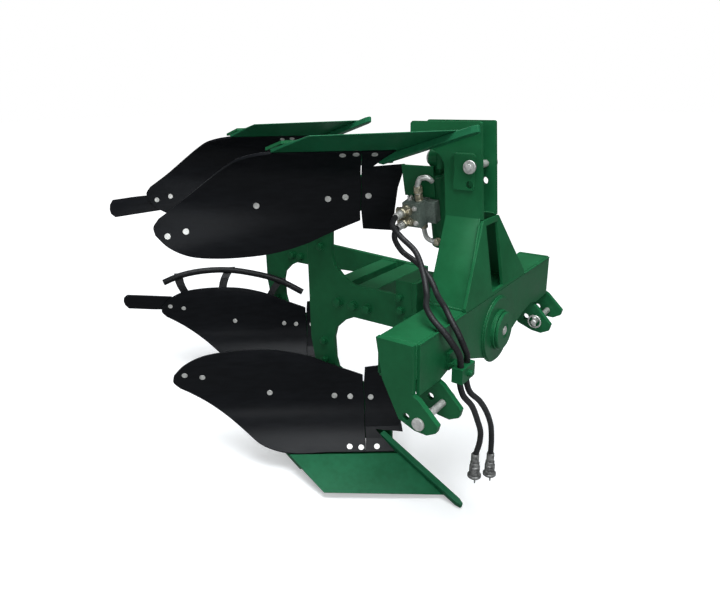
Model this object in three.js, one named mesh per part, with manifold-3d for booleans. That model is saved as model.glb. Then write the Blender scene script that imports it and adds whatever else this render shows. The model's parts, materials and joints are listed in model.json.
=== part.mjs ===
// Reversible two-furrow plough, millimetres: +X is the direction of travel, +Y is left and +Z is up.
// The turnover axis runs along X. The lower bodies turn the soil to the right, the upper ones to the left.
import * as THREE from "three";
import { mergeVertices } from "three/addons/utils/BufferGeometryUtils.js";
import Module from "manifold-3d";

const wasm = await Module();
wasm.setup();

// Driving sizes
const tableLength = 1000; // the tables named ...Shares, and ofTable, give places as shares of this length
const ofTable = (share) => share * tableLength;
const fit = 0.3; // play between pieces that pass through or along each other
const roundSides = 24;
const smallSides = 16;
const ringSides = 8;

// Crossbar and clevises
const crossbarLength = 771.4;
const crossbarDepth = ofTable(0.09);
const crossbarTop = ofTable(0.098);
const crossbarHeight = ofTable(0.09);
const crossbarWall = 8;
const linkSpan = 683; // between the middles of the two clevises
const clevisGap = ofTable(0.089);
const lugThickness = 14;
const lowerPinX = ofTable(0.061);
const lowerPinZ = ofTable(-0.071);
const lowerPinRadius = 8;
const lowerPinHeadRadius = 14;
const lowerPinHeadThickness = 6;
const lowerPinTail = 22;
const spareHoleX = ofTable(0.03);
const spareHoleZ = ofTable(-0.065);

// Tower
const plateThickness = 10;
const towerHalfWidth = ofTable(0.045);
const bendZ = ofTable(0.285);
const foldHalfWidth = ofTable(0.16);
const frontPlateThickness = 8;
const frontPlateLean = ofTable(0.029); // how far the leaning part of the front plate falls back
const frontPlateTopGap = 2;
const slotHalfWidth = ofTable(0.033);
const slotBottom = ofTable(0.108);
const slotTop = ofTable(0.27);
const topPinX = ofTable(-0.014);
const topPinZ = ofTable(0.409);
const topPinRadius = 9;
const topPinHeadRadius = 16;
const topPinTail = 22;
const spareTopHoleZ = ofTable(0.367);
const padHeight = ofTable(0.084);
const padDepth = ofTable(0.05);
const padThickness = 6;
const padRearX = ofTable(-0.056);
const padBottomZ = ofTable(0.354);

// Linch pins
const linchRadius = 5;
const linchReach = 14;
const ringWire = 3;
const ringRadius = 18;

// Turnover shaft and its housing
const housingRadius = 60;
const housingNoseRadius = 52;
const housingRear = ofTable(-0.098);
const housingFront = ofTable(0.07);
const collarRadius = 84;
const collarThickness = 7;
const shaftRadius = 30;
const shaftRear = ofTable(-0.2);
const capRadius = 48;
const capThickness = 8;
const flangeFront = ofTable(-0.1465);
const flangeThickness = 13.5;
const crankRadius = ofTable(0.1);
const hubLength = ofTable(0.052);
const hubHalfWidth = ofTable(0.06);
const hubTop = ofTable(0.1);
const hubBottom = ofTable(-0.072);

// Turnover cylinder
const cylinderX = ofTable(-0.13);
const cylinderZ = ofTable(0.421);
const eyeRadius = 24;
const eyeThickness = 26;
const eyePinRadius = 12;
const eyePinHeadRadius = 18;
const eyePinHeadThickness = 7;
const bracketFront = ofTable(-0.098);
const bracketThickness = 12;
const bracketBelow = ofTable(0.024);
const bracketAbove = ofTable(0.07);
const barrelRadius = 30;
const barrelWall = 5;
const barrelStart = ofTable(0.038);
const barrelEnd = ofTable(0.24);
const glandRadius = 33;
const glandLength = 14;
const rodRadius = 12;
const pistonLength = 18;
const pistonAt = ofTable(0.184);
const valveStart = ofTable(0.095);
const valveLength = 66;
const valveWidth = 52;
const valveDepth = 50;
const valveReach = 66;
const banjoRadius = 11;
const banjoLength = 28;
const banjoSpacing = 30;
const hoseRun = 26; // straight length of hose as it leaves a banjo

// Hoses
const hoseRadius = 7;
const hoseSides = 10;
const hoseSteps = 52;
const couplingRadius = 13;
const couplingLength = 34;
const plugRadius = 17;
const plugLength = 12;
const clampWidth = 62;
const clampHeight = 34;
const clampDepth = 26;
const clampX = ofTable(0.088);
const clampY = ofTable(-0.256);
const clampZ = ofTable(-0.004);
const clampPlay = 1;
const clampHoleSpacing = 30;
const clampTab = 8;
const clampTabTop = ofTable(0.036);
const clampTabWidth = 30;

// Turning frame
const beamPlateThickness = 14;
const nearPlateY = ofTable(-0.04); // right-hand face of the right beam plate
const rearShiftX = ofTable(-0.534); // the rear bodies stand this far behind the front ones
const rearShiftY = ofTable(0.347); // and this far to the left of them
const crossBeamHalfHeight = ofTable(0.026);
const crossBeamFrontX = ofTable(-0.335);
const crossBeamDepth = ofTable(0.07);
const rearCrossBeamX = ofTable(-0.442);
const rearCrossBeamDepth = ofTable(0.06);

// Plough bodies
const mouldThickness = 8;
const mouldColumns = 18;
const mouldRows = 8;
const shinThickness = 8;
const shinColumns = 3;
const shinRows = 8;
const shareThickness = 10;
const shareEdgeThickness = 2.5;
const shareColumns = 4;
const shareRows = 3;
const barWidth = 18;
const barThickness = 18;
const barTipLength = 16;
const frogThickness = 19;
const ribThickness = 12;
const carrierThickness = 8;
const carrierShare = 0.3; // of the depth of the share
const carrierBackShare = -0.15; // of that depth, behind the seam
const carrierStartShare = 0.002; // of the length of the share, beside the share point
const noseLength = 72;
const noseDepth = 30;
const noseNarrowing = 2;
const landsideThickness = 12;
const seatGap = 0.7;
const strapThickness = 8;
const stripThickness = 6;
const stripRows = 4;
const railRadius = 12;
const railSteps = 18;
const postWidth = 22;
const postThickness = 6;
const postRows = 6;
const postGap = 1.5;

// Surface of the mouldboard: y as shares of tableLength for x and height z, also in shares
const mouldShares = [0.7686, 1.2653, -0.0836, -4.9663, 16.0435, -18.7054, -3.3871, 4.8324];

// Outlines as shares of tableLength
const outerLugShares = [
  [-0.045, 0.098], [0.0447, 0.098], [0.0447, -0.012], [0.058, -0.018], [0.105, -0.064], [0.101, -0.08],
  [0.08, -0.092], [0.05, -0.091], [0.012, -0.076], [-0.03, 0.008],
];
const innerLugShares = [
  [-0.03, 0.008], [0.0447, 0.008], [0.0447, -0.02], [0.06, -0.028], [0.106, -0.076], [0.101, -0.096],
  [0.078, -0.108], [0.05, -0.105], [0.008, -0.089], [-0.002, -0.078], [-0.03, -0.012],
];
// (y, z): y in shares of crossbarLength, z in shares of tableLength
const frontLowerShares = [
  [0.499, 0.098], [0.499, -0.016], [0.386, -0.018], [0.324, -0.007], [0.259, -0.014], [0.188, -0.028],
  [0.117, -0.048], [0.053, -0.068], [-0.053, -0.068], [-0.117, -0.048], [-0.188, -0.028], [-0.259, -0.014],
  [-0.324, -0.007], [-0.386, -0.018], [-0.499, -0.016], [-0.499, 0.098],
];
const towerUpperShares = [
  [0.021, 0.2853], [0.012, 0.424], [0.006, 0.508], [0.002, 0.511], [-0.176, 0.511], [-0.181, 0.506],
  [-0.181, 0.478], [-0.176, 0.47], [-0.12, 0.446], [-0.097, 0.432], [-0.085, 0.412], [-0.077, 0.2853],
];
const legShares = [
  [-0.2123, 0.05], [-0.274, 0.05], [-0.371, 0.05], [-0.404, 0.066], [-0.438, 0.098], [-0.448, 0.133],
  [-0.445, 0.2], [-0.43, 0.25], [-0.412, 0.3], [-0.47, 0.32], [-0.525, 0.24], [-0.541, 0.15],
];
const leftPlateStartShares = [-0.325, 0.026]; // front end of the left beam plate
const frogShares = [
  [-0.47, 0.255], [-0.43, 0.255], [-0.412, 0.3], [-0.395, 0.345], [-0.35, 0.4], [-0.315, 0.43],
  [-0.315, 0.458], [-0.48, 0.458], [-0.51, 0.42],
];
const ribShares = [
  [-0.02, 0.3], [-0.045, 0.32], [-0.063, 0.352], [-0.1, 0.4], [-0.128, 0.425], [-0.15, 0.44],
  [-0.18, 0.451], [-0.205, 0.4565], [-0.205, 0.465], [-0.02, 0.464],
];
const ribRearShare = -0.4;
const strapTopShares = [[-0.32, 0.265], [-0.395, 0.265]];
const strapBottomShares = [[-0.3, 0.36], [-0.395, 0.36]];
const mouldTopShares = [
  [-0.353, 0.24], [-0.418, 0.207], [-0.478, 0.174], [-0.548, 0.15], [-0.6, 0.143], [-0.66, 0.143],
  [-0.71, 0.153], [-0.75, 0.178], [-0.782, 0.215],
];
const mouldBottomShares = [
  [-0.287, 0.4375], [-0.37, 0.4365], [-0.463, 0.436], [-0.545, 0.42], [-0.6, 0.396], [-0.655, 0.364],
  [-0.705, 0.328], [-0.75, 0.289], [-0.781, 0.26],
];
const mouldFrontShares = [[-0.353, 0.24], [-0.3505, 0.285], [-0.3345, 0.361], [-0.3175, 0.397], [-0.287, 0.4375]];
const mouldRearShares = [[-0.782, 0.215], [-0.789, 0.238], [-0.781, 0.26]];
const shinTopShares = [[-0.283, 0.208], [-0.348, 0.216]];
const shinBottomShares = [[-0.19, 0.4375], [-0.285, 0.4375]];
const shinSeamShares = [[-0.348, 0.216], [-0.348, 0.285], [-0.332, 0.361], [-0.315, 0.397], [-0.285, 0.4375]];
const shinEdgeShares = [[-0.283, 0.208], [-0.27, 0.29], [-0.257, 0.34], [-0.222, 0.4], [-0.19, 0.4375]];
const shinNotchShares = [[-0.3, 0.3935], [-0.1, 0.4115], [-0.1, 0.5], [-0.3, 0.5]];
const shareTopShares = [[-0.2, -0.0522, 0.4411], [-0.465, -0.2465, 0.4395]];
const shareEdgeShares = [[-0.024, -0.078, 0.4927], [-0.309, -0.277, 0.485]];
const barRearShares = [-0.2736, -0.038, 0.4084];
const barTipShares = [0.0238, -0.0915, 0.4988];
const stripTopShares = [[-0.745, 0.174], [-0.81, 0.164], [-0.861, 0.156]];
const stripBottomShares = [[-0.745, 0.234], [-0.82, 0.228], [-0.879, 0.219]];
const stripEndShares = [[-0.861, 0.156], [-0.877, 0.172], [-0.883, 0.2], [-0.879, 0.219]];
const landsideShares = [[-0.262, 0.4], [-0.3, 0.398], [-0.52, 0.398], [-0.52, 0.462], [-0.262, 0.462]];
// Heads and feet of the posts on the surface that the rail runs along
const postHeadShares = [[-0.733, 0.078], [-0.606, 0.069], [-0.444, 0.12]];
const postFootShares = [[-0.7, 0.175], [-0.6, 0.18], [-0.47, 0.215]];
const railShares = [
  [-0.768, -0.377, -0.112], [-0.729, -0.324, -0.09], [-0.676, -0.256, -0.08], [-0.614, -0.188, -0.083],
  [-0.539, -0.125, -0.1], [-0.454, -0.065, -0.13], [-0.371, -0.016, -0.18],
];
const hoseOneShares = [
  [-0.168, -0.144, 0.268], [-0.128, -0.168, 0.25], [-0.086, -0.172, 0.221], [-0.053, -0.192, 0.179],
  [-0.022, -0.229, 0.144], [0.005, -0.277, 0.134], [0.036, -0.301, 0.119], [0.064, -0.306, 0.1],
  [0.081, -0.298, 0.074], [0.088, -0.28, 0.045], [0.088, -0.271, 0.019], [0.088, -0.271, -0.004],
  [0.088, -0.271, -0.026], [0.091, -0.259, -0.06], [0.098, -0.225, -0.101], [0.098, -0.19, -0.155],
  [0.099, -0.169, -0.2], [0.096, -0.165, -0.232], [0.092, -0.17, -0.256], [0.09, -0.172, -0.27],
  [0.09, -0.172, -0.284],
];
const hoseTwoShares = [
  [-0.172, -0.13, 0.236], [-0.136, -0.153, 0.212], [-0.088, -0.153, 0.186], [-0.054, -0.158, 0.158],
  [-0.014, -0.191, 0.131], [0.027, -0.233, 0.124], [0.055, -0.255, 0.106], [0.076, -0.262, 0.083],
  [0.087, -0.256, 0.054], [0.09, -0.245, 0.031], [0.088, -0.241, 0.014], [0.088, -0.241, -0.004],
  [0.088, -0.241, -0.026], [0.091, -0.227, -0.064], [0.097, -0.179, -0.111], [0.098, -0.136, -0.162],
  [0.099, -0.107, -0.214], [0.098, -0.095, -0.262], [0.098, -0.095, -0.298], [0.098, -0.095, -0.322],
];
// Finishes
const greenPaint = { color: 0x1b5c36, roughness: 0.45, metalness: 0.1 };
const blackPaint = { color: 0x141618, roughness: 0.4, metalness: 0.3 };
const zinc = { color: 0xa9a692, roughness: 0.35, metalness: 0.9 };
const chromed = { color: 0xc8ccd0, roughness: 0.12, metalness: 1 };
const castGrey = { color: 0x7c8a84, roughness: 0.6, metalness: 0.4 };
const blackRubber = { color: 0x101112, roughness: 0.75, metalness: 0 };

const plough = new THREE.Group();
plough.name = "reversible_plough";

// Geometry to a manifold solid, and back
function solid(geometry) {
  const bare = geometry.clone();
  bare.deleteAttribute("normal");
  bare.deleteAttribute("uv");
  const merged = mergeVertices(bare);
  return new wasm.Manifold(new wasm.Mesh({
    numProp: 3,
    vertProperties: new Float32Array(merged.attributes.position.array),
    triVerts: new Uint32Array(merged.index.array),
  }));
}

function place(name, body, finish) {
  const mesh = body.getMesh();
  const points = new Float32Array(mesh.numVert * 3);
  for (let i = 0; i < mesh.numVert; i++)
    points.set(mesh.vertProperties.subarray(i * mesh.numProp, i * mesh.numProp + 3), i * 3);
  const geometry = new THREE.BufferGeometry();
  geometry.setAttribute("position", new THREE.BufferAttribute(points, 3));
  geometry.setIndex(new THREE.BufferAttribute(new Uint32Array(mesh.triVerts), 1));
  geometry.computeVertexNormals();
  const made = new THREE.Mesh(geometry, new THREE.MeshStandardMaterial(finish));
  made.name = name;
  plough.add(made);
  return made;
}

function united(...bodies) {
  return bodies.reduce((a, b) => a.add(b));
}

function box(x0, x1, y0, y1, z0, z1) {
  const made = new THREE.BoxGeometry(x1 - x0, y1 - y0, z1 - z0);
  made.translate((x0 + x1) / 2, (y0 + y1) / 2, (z0 + z1) / 2);
  return solid(made);
}

// Round bar along an axis from one place to another, centred on (a, b) in the other two axes
function bar(axis, radius, from, to, a, b, sides = roundSides) {
  const made = new THREE.CylinderGeometry(radius, radius, to - from, sides);
  const middle = (from + to) / 2;
  if (axis === "x") made.rotateZ(-Math.PI / 2).translate(middle, a, b);
  if (axis === "y") made.translate(a, middle, b);
  if (axis === "z") made.rotateX(Math.PI / 2).translate(a, b, middle);
  return solid(made);
}

// Flat plate: outline in (u, v) from an origin, thickness along w = u x v
function plate(outline, thickness, origin, u, v) {
  const shape = new THREE.Shape(outline.map(([a, b]) => new THREE.Vector2(a, b)));
  const made = new THREE.ExtrudeGeometry(shape, { depth: thickness, bevelEnabled: false });
  const w = new THREE.Vector3().crossVectors(u, v);
  made.applyMatrix4(new THREE.Matrix4().makeBasis(u, v, w).setPosition(origin));
  return solid(made);
}

const alongX = new THREE.Vector3(1, 0, 0);
const alongY = new THREE.Vector3(0, 1, 0);
const alongZ = new THREE.Vector3(0, 0, 1);

function sized(table) {
  return table.map((row) => row.map((share) => share * tableLength));
}

function vector([x, y, z]) {
  return new THREE.Vector3(x, y, z);
}

// Upright plate along X from an (x, z) outline, its thickness from y0 to y0 + thickness
function sidePlate(outline, y0, thickness) {
  return plate(outline, thickness, new THREE.Vector3(0, y0 + thickness, 0), alongX, alongZ);
}

// Upright plate across the plough from a (y, z) outline
function crossPlate(outline, x0, thickness) {
  return plate(outline, thickness, new THREE.Vector3(x0, 0, 0), alongY, alongZ);
}

function flipped(body) {
  return body.mirror([0, 0, 1]);
}

// The grid set back against its normals by a distance for each row, from 0 at the first to 1 at the last
function setBack(grid, distanceAt) {
  const rows = grid.length;
  const columns = grid[0].length;
  return grid.map((row, r) => row.map((point, c) => {
    const across = new THREE.Vector3().subVectors(row[Math.min(c + 1, columns - 1)], row[Math.max(c - 1, 0)]);
    const down = new THREE.Vector3().subVectors(grid[Math.min(r + 1, rows - 1)][c], grid[Math.max(r - 1, 0)][c]);
    const normal = new THREE.Vector3().crossVectors(across, down).normalize();
    return point.clone().addScaledVector(normal, -distanceAt(r / (rows - 1)));
  }));
}

// Thickened sheet over a grid of points: rows of columns, back face set off against the normals
function sheet(grid, thicknessAt) {
  const rows = grid.length;
  const columns = grid[0].length;
  const points = grid.flat().concat(setBack(grid, thicknessAt).flat()).flatMap((p) => [p.x, p.y, p.z]);
  const shift = rows * columns;
  const index = [];
  const at = (r, c) => r * columns + c;
  for (let r = 0; r + 1 < rows; r++)
    for (let c = 0; c + 1 < columns; c++) {
      const [a, b, d, e] = [at(r, c), at(r, c + 1), at(r + 1, c), at(r + 1, c + 1)];
      index.push(a, b, e, a, e, d);
      index.push(a + shift, e + shift, b + shift, a + shift, d + shift, e + shift);
    }
  const rim = [];
  for (let c = 0; c + 1 < columns; c++) rim.push([at(0, c + 1), at(0, c)]);
  for (let r = 0; r + 1 < rows; r++) rim.push([at(r, 0), at(r + 1, 0)]);
  for (let c = 0; c + 1 < columns; c++) rim.push([at(rows - 1, c), at(rows - 1, c + 1)]);
  for (let r = 0; r + 1 < rows; r++) rim.push([at(r + 1, columns - 1), at(r, columns - 1)]);
  for (const [a, b] of rim) index.push(a, b, b + shift, a, b + shift, a + shift);
  const made = new THREE.BufferGeometry();
  made.setAttribute("position", new THREE.BufferAttribute(new Float32Array(points), 3));
  made.setIndex(index);
  return solid(made);
}

// Point at a share of the length of a table of points
function along(table, share) {
  const steps = table.slice(1).map((p, i) => Math.hypot(...p.map((value, k) => value - table[i][k])));
  const total = steps.reduce((a, b) => a + b);
  let left = share * total;
  let i = 0;
  while (i + 1 < steps.length && left > steps[i]) {
    left -= steps[i];
    i += 1;
  }
  return table[i].map((value, k) => value + (table[i + 1][k] - value) * left / steps[i]);
}

function mouldY(x, z) {
  const terms = [1, x, x * x, z, z * z, z * z * z, x * z, x * z * z];
  return terms.reduce((sum, term, i) => sum + term * mouldShares[i], 0);
}

// Patch of the mouldboard surface between four edges given in (x, height), lower body
function mouldPatch(top, bottom, first, last, columns, rows) {
  const corner = (table, i) => table[i === 0 ? 0 : table.length - 1];
  const grid = [];
  for (let r = 0; r <= rows; r++) {
    const row = [];
    for (let c = 0; c <= columns; c++) {
      const [u, v] = [c / columns, r / rows];
      const [t, b, f, l] = [along(top, u), along(bottom, u), along(first, v), along(last, v)];
      const [x, z] = [0, 1].map((k) =>
        (1 - v) * t[k] + v * b[k] + (1 - u) * f[k] + u * l[k]
        - (1 - u) * (1 - v) * corner(top, 0)[k] - u * (1 - v) * corner(top, 1)[k]
        - (1 - u) * v * corner(bottom, 0)[k] - u * v * corner(bottom, 1)[k]);
      row.push(vector([x, mouldY(x, z), -z]).multiplyScalar(tableLength));
    }
    grid.push(row);
  }
  return grid;
}

// Wire ring around a point of a pin that lies along Y
function wireRing(x, y, z) {
  const made = new THREE.TorusGeometry(ringRadius, ringWire, ringSides, roundSides);
  made.rotateX(Math.PI / 2).translate(x, y, z);
  return solid(made);
}

// Headstock: crossbar
const crossbarBottom = crossbarTop - crossbarHeight;
const outerLugInside = crossbarLength / 2 + fit;
const crossbar = box(-crossbarDepth / 2, crossbarDepth / 2, -crossbarLength / 2, crossbarLength / 2,
  crossbarBottom, crossbarTop)
  .subtract(box(-crossbarDepth / 2 + crossbarWall, crossbarDepth / 2 - crossbarWall,
    -crossbarLength, crossbarLength, crossbarBottom + crossbarWall, crossbarTop - crossbarWall))
  .subtract(bar("x", housingRadius + fit, -crossbarDepth, crossbarDepth, 0, 0));
place("crossbar", crossbar, greenPaint);

// Headstock: four hitch lugs, two to each clevis
const outerLugY = linkSpan / 2 + clevisGap / 2;
const innerLugY = linkSpan / 2 - clevisGap / 2 - lugThickness;
const lugHoles = united(
  bar("y", lowerPinRadius + fit, -crossbarLength, crossbarLength, lowerPinX, lowerPinZ),
  bar("y", lowerPinRadius + fit, -crossbarLength, crossbarLength, spareHoleX, spareHoleZ));
const outerLugLeft = sidePlate(sized(outerLugShares), outerLugInside, lugThickness).subtract(lugHoles);
const outerLugRight = sidePlate(sized(outerLugShares), -outerLugInside - lugThickness, lugThickness)
  .subtract(lugHoles);
const innerLugLeft = sidePlate(sized(innerLugShares), innerLugY, lugThickness).subtract(lugHoles);
const innerLugRight = sidePlate(sized(innerLugShares), -innerLugY - lugThickness, lugThickness).subtract(lugHoles);
place("outer_hitch_lug_left", outerLugLeft, greenPaint);
place("outer_hitch_lug_right", outerLugRight, greenPaint);
place("inner_hitch_lug_left", innerLugLeft, greenPaint);
place("inner_hitch_lug_right", innerLugRight, greenPaint);

// Headstock: front plate, upright over the crossbar and leaning back above it
const plateFace = crossbarDepth / 2 + fit;
const leaningHeight = bendZ - crossbarTop;
const leanLength = Math.hypot(leaningHeight, frontPlateLean);
const leanUp = new THREE.Vector3(-frontPlateLean / leanLength, 0, leaningHeight / leanLength);
const leanOrigin = new THREE.Vector3(plateFace, 0, crossbarTop);
const leanTop = leanLength - frontPlateTopGap;
const shoulder = foldHalfWidth + plateThickness + plateThickness;
const leaning = plate([
  [-shoulder, -fit], [shoulder, -fit], [shoulder, plateThickness], [towerHalfWidth + fit, leanTop],
  [-towerHalfWidth - fit, leanTop], [-shoulder, plateThickness],
], frontPlateThickness, leanOrigin, alongY, leanUp);
const frontLowerOutline = frontLowerShares.map(([y, z]) => [y * crossbarLength, z * tableLength]);
const frontPlate = united(crossPlate(frontLowerOutline, plateFace, frontPlateThickness), leaning)
  .subtract(box(-crossbarDepth, crossbarDepth, -slotHalfWidth, slotHalfWidth, slotBottom, slotTop))
  .subtract(bar("x", housingRadius + fit, -crossbarDepth, crossbarDepth, 0, 0));
place("front_plate", frontPlate, greenPaint);

// Headstock: tower plates, upright above the fold and spread out below it
const topHole = bar("y", topPinRadius + fit, -crossbarLength, crossbarLength, topPinX, topPinZ, smallSides);
const spareTopHole = bar("y", topPinRadius + fit, -crossbarLength, crossbarLength, topPinX, spareTopHoleZ, smallSides);
const foldDrop = bendZ - crossbarTop;
const foldOut = foldHalfWidth - towerHalfWidth;
const foldLength = Math.hypot(foldDrop, foldOut);
const frontBehind = plate([
  [-crossbarLength, -leaningHeight], [crossbarLength, -leaningHeight],
  [crossbarLength, leanLength + leaningHeight], [-crossbarLength, leanLength + leaningHeight],
], crossbarLength, leanOrigin.clone().addScaledVector(alongX, -fit), alongY, leanUp);
const towerUpper = sidePlate(sized(towerUpperShares), towerHalfWidth - plateThickness, plateThickness);
const pad = box(padRearX, padRearX + padDepth, towerHalfWidth - fit, towerHalfWidth + padThickness,
  padBottomZ, padBottomZ + padHeight);
const foldRear = towerUpperShares[towerUpperShares.length - 1][0] * tableLength;
const foldNarrowing = plateThickness + plateThickness;
const towerLower = plate([
  [foldRear, -plateThickness / 2], [plateFace, -plateThickness / 2], [plateFace, foldLength + plateThickness],
  [foldRear + foldNarrowing, foldLength + plateThickness],
], plateThickness, new THREE.Vector3(0, towerHalfWidth - plateThickness, bendZ + fit), alongX,
new THREE.Vector3(0, foldOut / foldLength, -foldDrop / foldLength))
  .subtract(frontBehind)
  .subtract(box(-crossbarLength, crossbarLength, -crossbarLength, crossbarLength, -crossbarTop, crossbarTop + fit));
const towerPlate = united(towerUpper, pad, towerLower).subtract(topHole).subtract(spareTopHole);
place("tower_plate_left", towerPlate, greenPaint);
place("tower_plate_right", towerPlate.mirror([0, 1, 0]), greenPaint);

// Headstock: bracket between the ears of the tower for the cylinder
const towerInside = towerHalfWidth - plateThickness - fit;
const bracket = box(bracketFront - bracketThickness, bracketFront, -towerInside, towerInside,
  cylinderZ - bracketBelow, cylinderZ + bracketAbove)
  .subtract(bar("x", eyePinRadius + fit, bracketFront - bracketThickness - bracketThickness, -bracketFront,
    0, cylinderZ));
place("cylinder_bracket", bracket, greenPaint);

// Headstock: housing of the turnover shaft
const housing = united(
  bar("x", housingRadius, housingRear, plateFace + frontPlateThickness, 0, 0),
  bar("x", collarRadius, plateFace + frontPlateThickness + fit, plateFace + frontPlateThickness + collarThickness, 0, 0),
  bar("x", housingNoseRadius, plateFace, housingFront, 0, 0))
  .subtract(bar("x", shaftRadius + fit, housingRear - collarThickness, housingFront + collarThickness, 0, 0));
place("turnover_housing", housing, greenPaint);

// Hitch pins with their linch pins
function hitchPin(inner, outer, tail, x, z, radius, headRadius) {
  const [from, to, head] = outer < inner ? [outer, inner + tail, outer - lowerPinHeadThickness]
    : [inner - tail, outer, outer];
  const shank = bar("y", radius, from, to, x, z, smallSides);
  const collar = bar("y", headRadius, head, head + lowerPinHeadThickness, x, z, smallSides);
  const linchY = outer < inner ? inner + tail / 2 : inner - tail / 2;
  const linch = bar("z", linchRadius, z - linchReach, z + linchReach, x, linchY, smallSides);
  return { pin: united(shank, collar, linch), linchY };
}
const pinOuter = outerLugInside + lugThickness;
const rightPin = hitchPin(-innerLugY, -pinOuter, lowerPinTail, lowerPinX, lowerPinZ, lowerPinRadius,
  lowerPinHeadRadius);
const leftPin = hitchPin(innerLugY, pinOuter, lowerPinTail, lowerPinX, lowerPinZ, lowerPinRadius,
  lowerPinHeadRadius);
const towerOuter = towerHalfWidth + padThickness;
const topPin = hitchPin(towerOuter, -towerOuter, topPinTail, topPinX, topPinZ, topPinRadius, topPinHeadRadius);
place("lower_link_pin_right", rightPin.pin, zinc);
place("lower_link_pin_left", leftPin.pin, zinc);
place("top_link_pin", topPin.pin, zinc);

// Rings of the linch pins, closed around the pins
place("linch_ring_right", wireRing(lowerPinX, rightPin.linchY, lowerPinZ), zinc);
place("linch_ring_left", wireRing(lowerPinX, leftPin.linchY, lowerPinZ), zinc);
place("linch_ring_top", wireRing(topPinX, topPin.linchY, topPinZ), zinc);

// Turnover cylinder: everything on it is built hanging straight down, then leaned onto the crank pin
const leanAngle = Math.atan2(crankRadius, cylinderZ);
const pinDistance = Math.hypot(crankRadius, cylinderZ);
const leanTurn = new THREE.Matrix4().makeTranslation(cylinderX, 0, cylinderZ)
  .multiply(new THREE.Matrix4().makeRotationX(leanAngle));
function leaned(body) {
  const mesh = body.getMesh();
  const geometry = new THREE.BufferGeometry();
  geometry.setAttribute("position", new THREE.BufferAttribute(new Float32Array(mesh.vertProperties), 3));
  geometry.setIndex(new THREE.BufferAttribute(new Uint32Array(mesh.triVerts), 1));
  geometry.applyMatrix4(leanTurn);
  return solid(geometry);
}
const barrel = united(
  bar("x", eyeRadius, -eyeThickness / 2, eyeThickness / 2, 0, 0),
  box(-eyeThickness / 2, eyeThickness / 2, -eyeRadius / 2, eyeRadius / 2, -barrelStart - barrelWall, 0),
  bar("z", barrelRadius, -barrelEnd, -barrelStart, 0, 0),
  bar("z", glandRadius, -barrelEnd, -barrelEnd + glandLength, 0, 0))
  .subtract(bar("x", eyePinRadius + fit, -eyeThickness, eyeThickness, 0, 0))
  .subtract(bar("z", barrelRadius - barrelWall, -barrelEnd + glandLength, -barrelStart - barrelWall - barrelWall, 0, 0))
  .subtract(bar("z", rodRadius + fit, -barrelEnd - glandLength, -barrelStart - glandLength, 0, 0));
place("cylinder_barrel", leaned(barrel), blackPaint);
const rod = united(
  bar("z", barrelRadius - barrelWall - fit, -pistonAt, -pistonAt + pistonLength, 0, 0),
  bar("z", rodRadius, -pinDistance, -pistonAt, 0, 0),
  bar("x", eyeRadius, -eyeThickness / 2, eyeThickness / 2, 0, -pinDistance))
  .subtract(bar("x", eyePinRadius + fit, -eyeThickness, eyeThickness, 0, -pinDistance));
place("cylinder_rod", leaned(rod), chromed);
const valve = box(-valveReach, -valveReach + valveDepth, -valveWidth - barrelRadius, -barrelRadius - fit,
  -valveStart - valveLength, -valveStart)
  .add(box(-valveReach + valveDepth - barrelWall, eyeThickness / 2, -barrelRadius - valveWidth / 2,
    -barrelRadius - fit, -valveStart - valveLength + barrelWall, -valveStart - barrelWall));

// Pins of the cylinder
const cylinderPin = united(
  bar("x", eyePinRadius, cylinderX - eyeThickness / 2 - fit, bracketFront + eyePinHeadThickness, 0, cylinderZ),
  bar("x", eyePinHeadRadius, bracketFront, bracketFront + eyePinHeadThickness, 0, cylinderZ, smallSides),
  bar("x", eyePinHeadRadius, cylinderX - eyeThickness / 2 - fit - eyePinHeadThickness,
    cylinderX - eyeThickness / 2 - fit, 0, cylinderZ, smallSides));
place("cylinder_pin", cylinderPin, zinc);
const crankPin = united(
  bar("x", eyePinRadius, flangeFront + fit, cylinderX + eyeThickness / 2 + fit, crankRadius, 0),
  bar("x", eyePinHeadRadius, cylinderX + eyeThickness / 2 + fit, cylinderX + eyeThickness / 2 + eyePinHeadThickness,
    crankRadius, 0, smallSides));
place("crank_pin", crankPin, zinc);

// Turning frame: shaft with its cap, crank flange and hub
const shaft = united(
  bar("x", shaftRadius, shaftRear, housingFront + fit + capThickness, 0, 0),
  bar("x", capRadius, housingFront + fit, housingFront + fit + capThickness, 0, 0));
place("turnover_shaft", shaft, greenPaint);
const flangeRear = flangeFront - flangeThickness;
const shaftHole = bar("x", shaftRadius + fit, -tableLength, tableLength, 0, 0);
const crankFlange = united(
  box(flangeRear, flangeFront, -hubHalfWidth, hubHalfWidth, hubBottom, hubTop),
  box(flangeRear, flangeFront, 0, crankRadius, -eyeRadius, eyeRadius),
  bar("x", eyeRadius, flangeRear, flangeFront, crankRadius, 0))
  .subtract(shaftHole);
place("crank_flange", crankFlange, greenPaint);
const hub = box(flangeRear - hubLength, flangeRear, -hubHalfWidth, hubHalfWidth, hubBottom, hubTop)
  .subtract(shaftHole);
place("frame_hub", hub, greenPaint);

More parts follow.
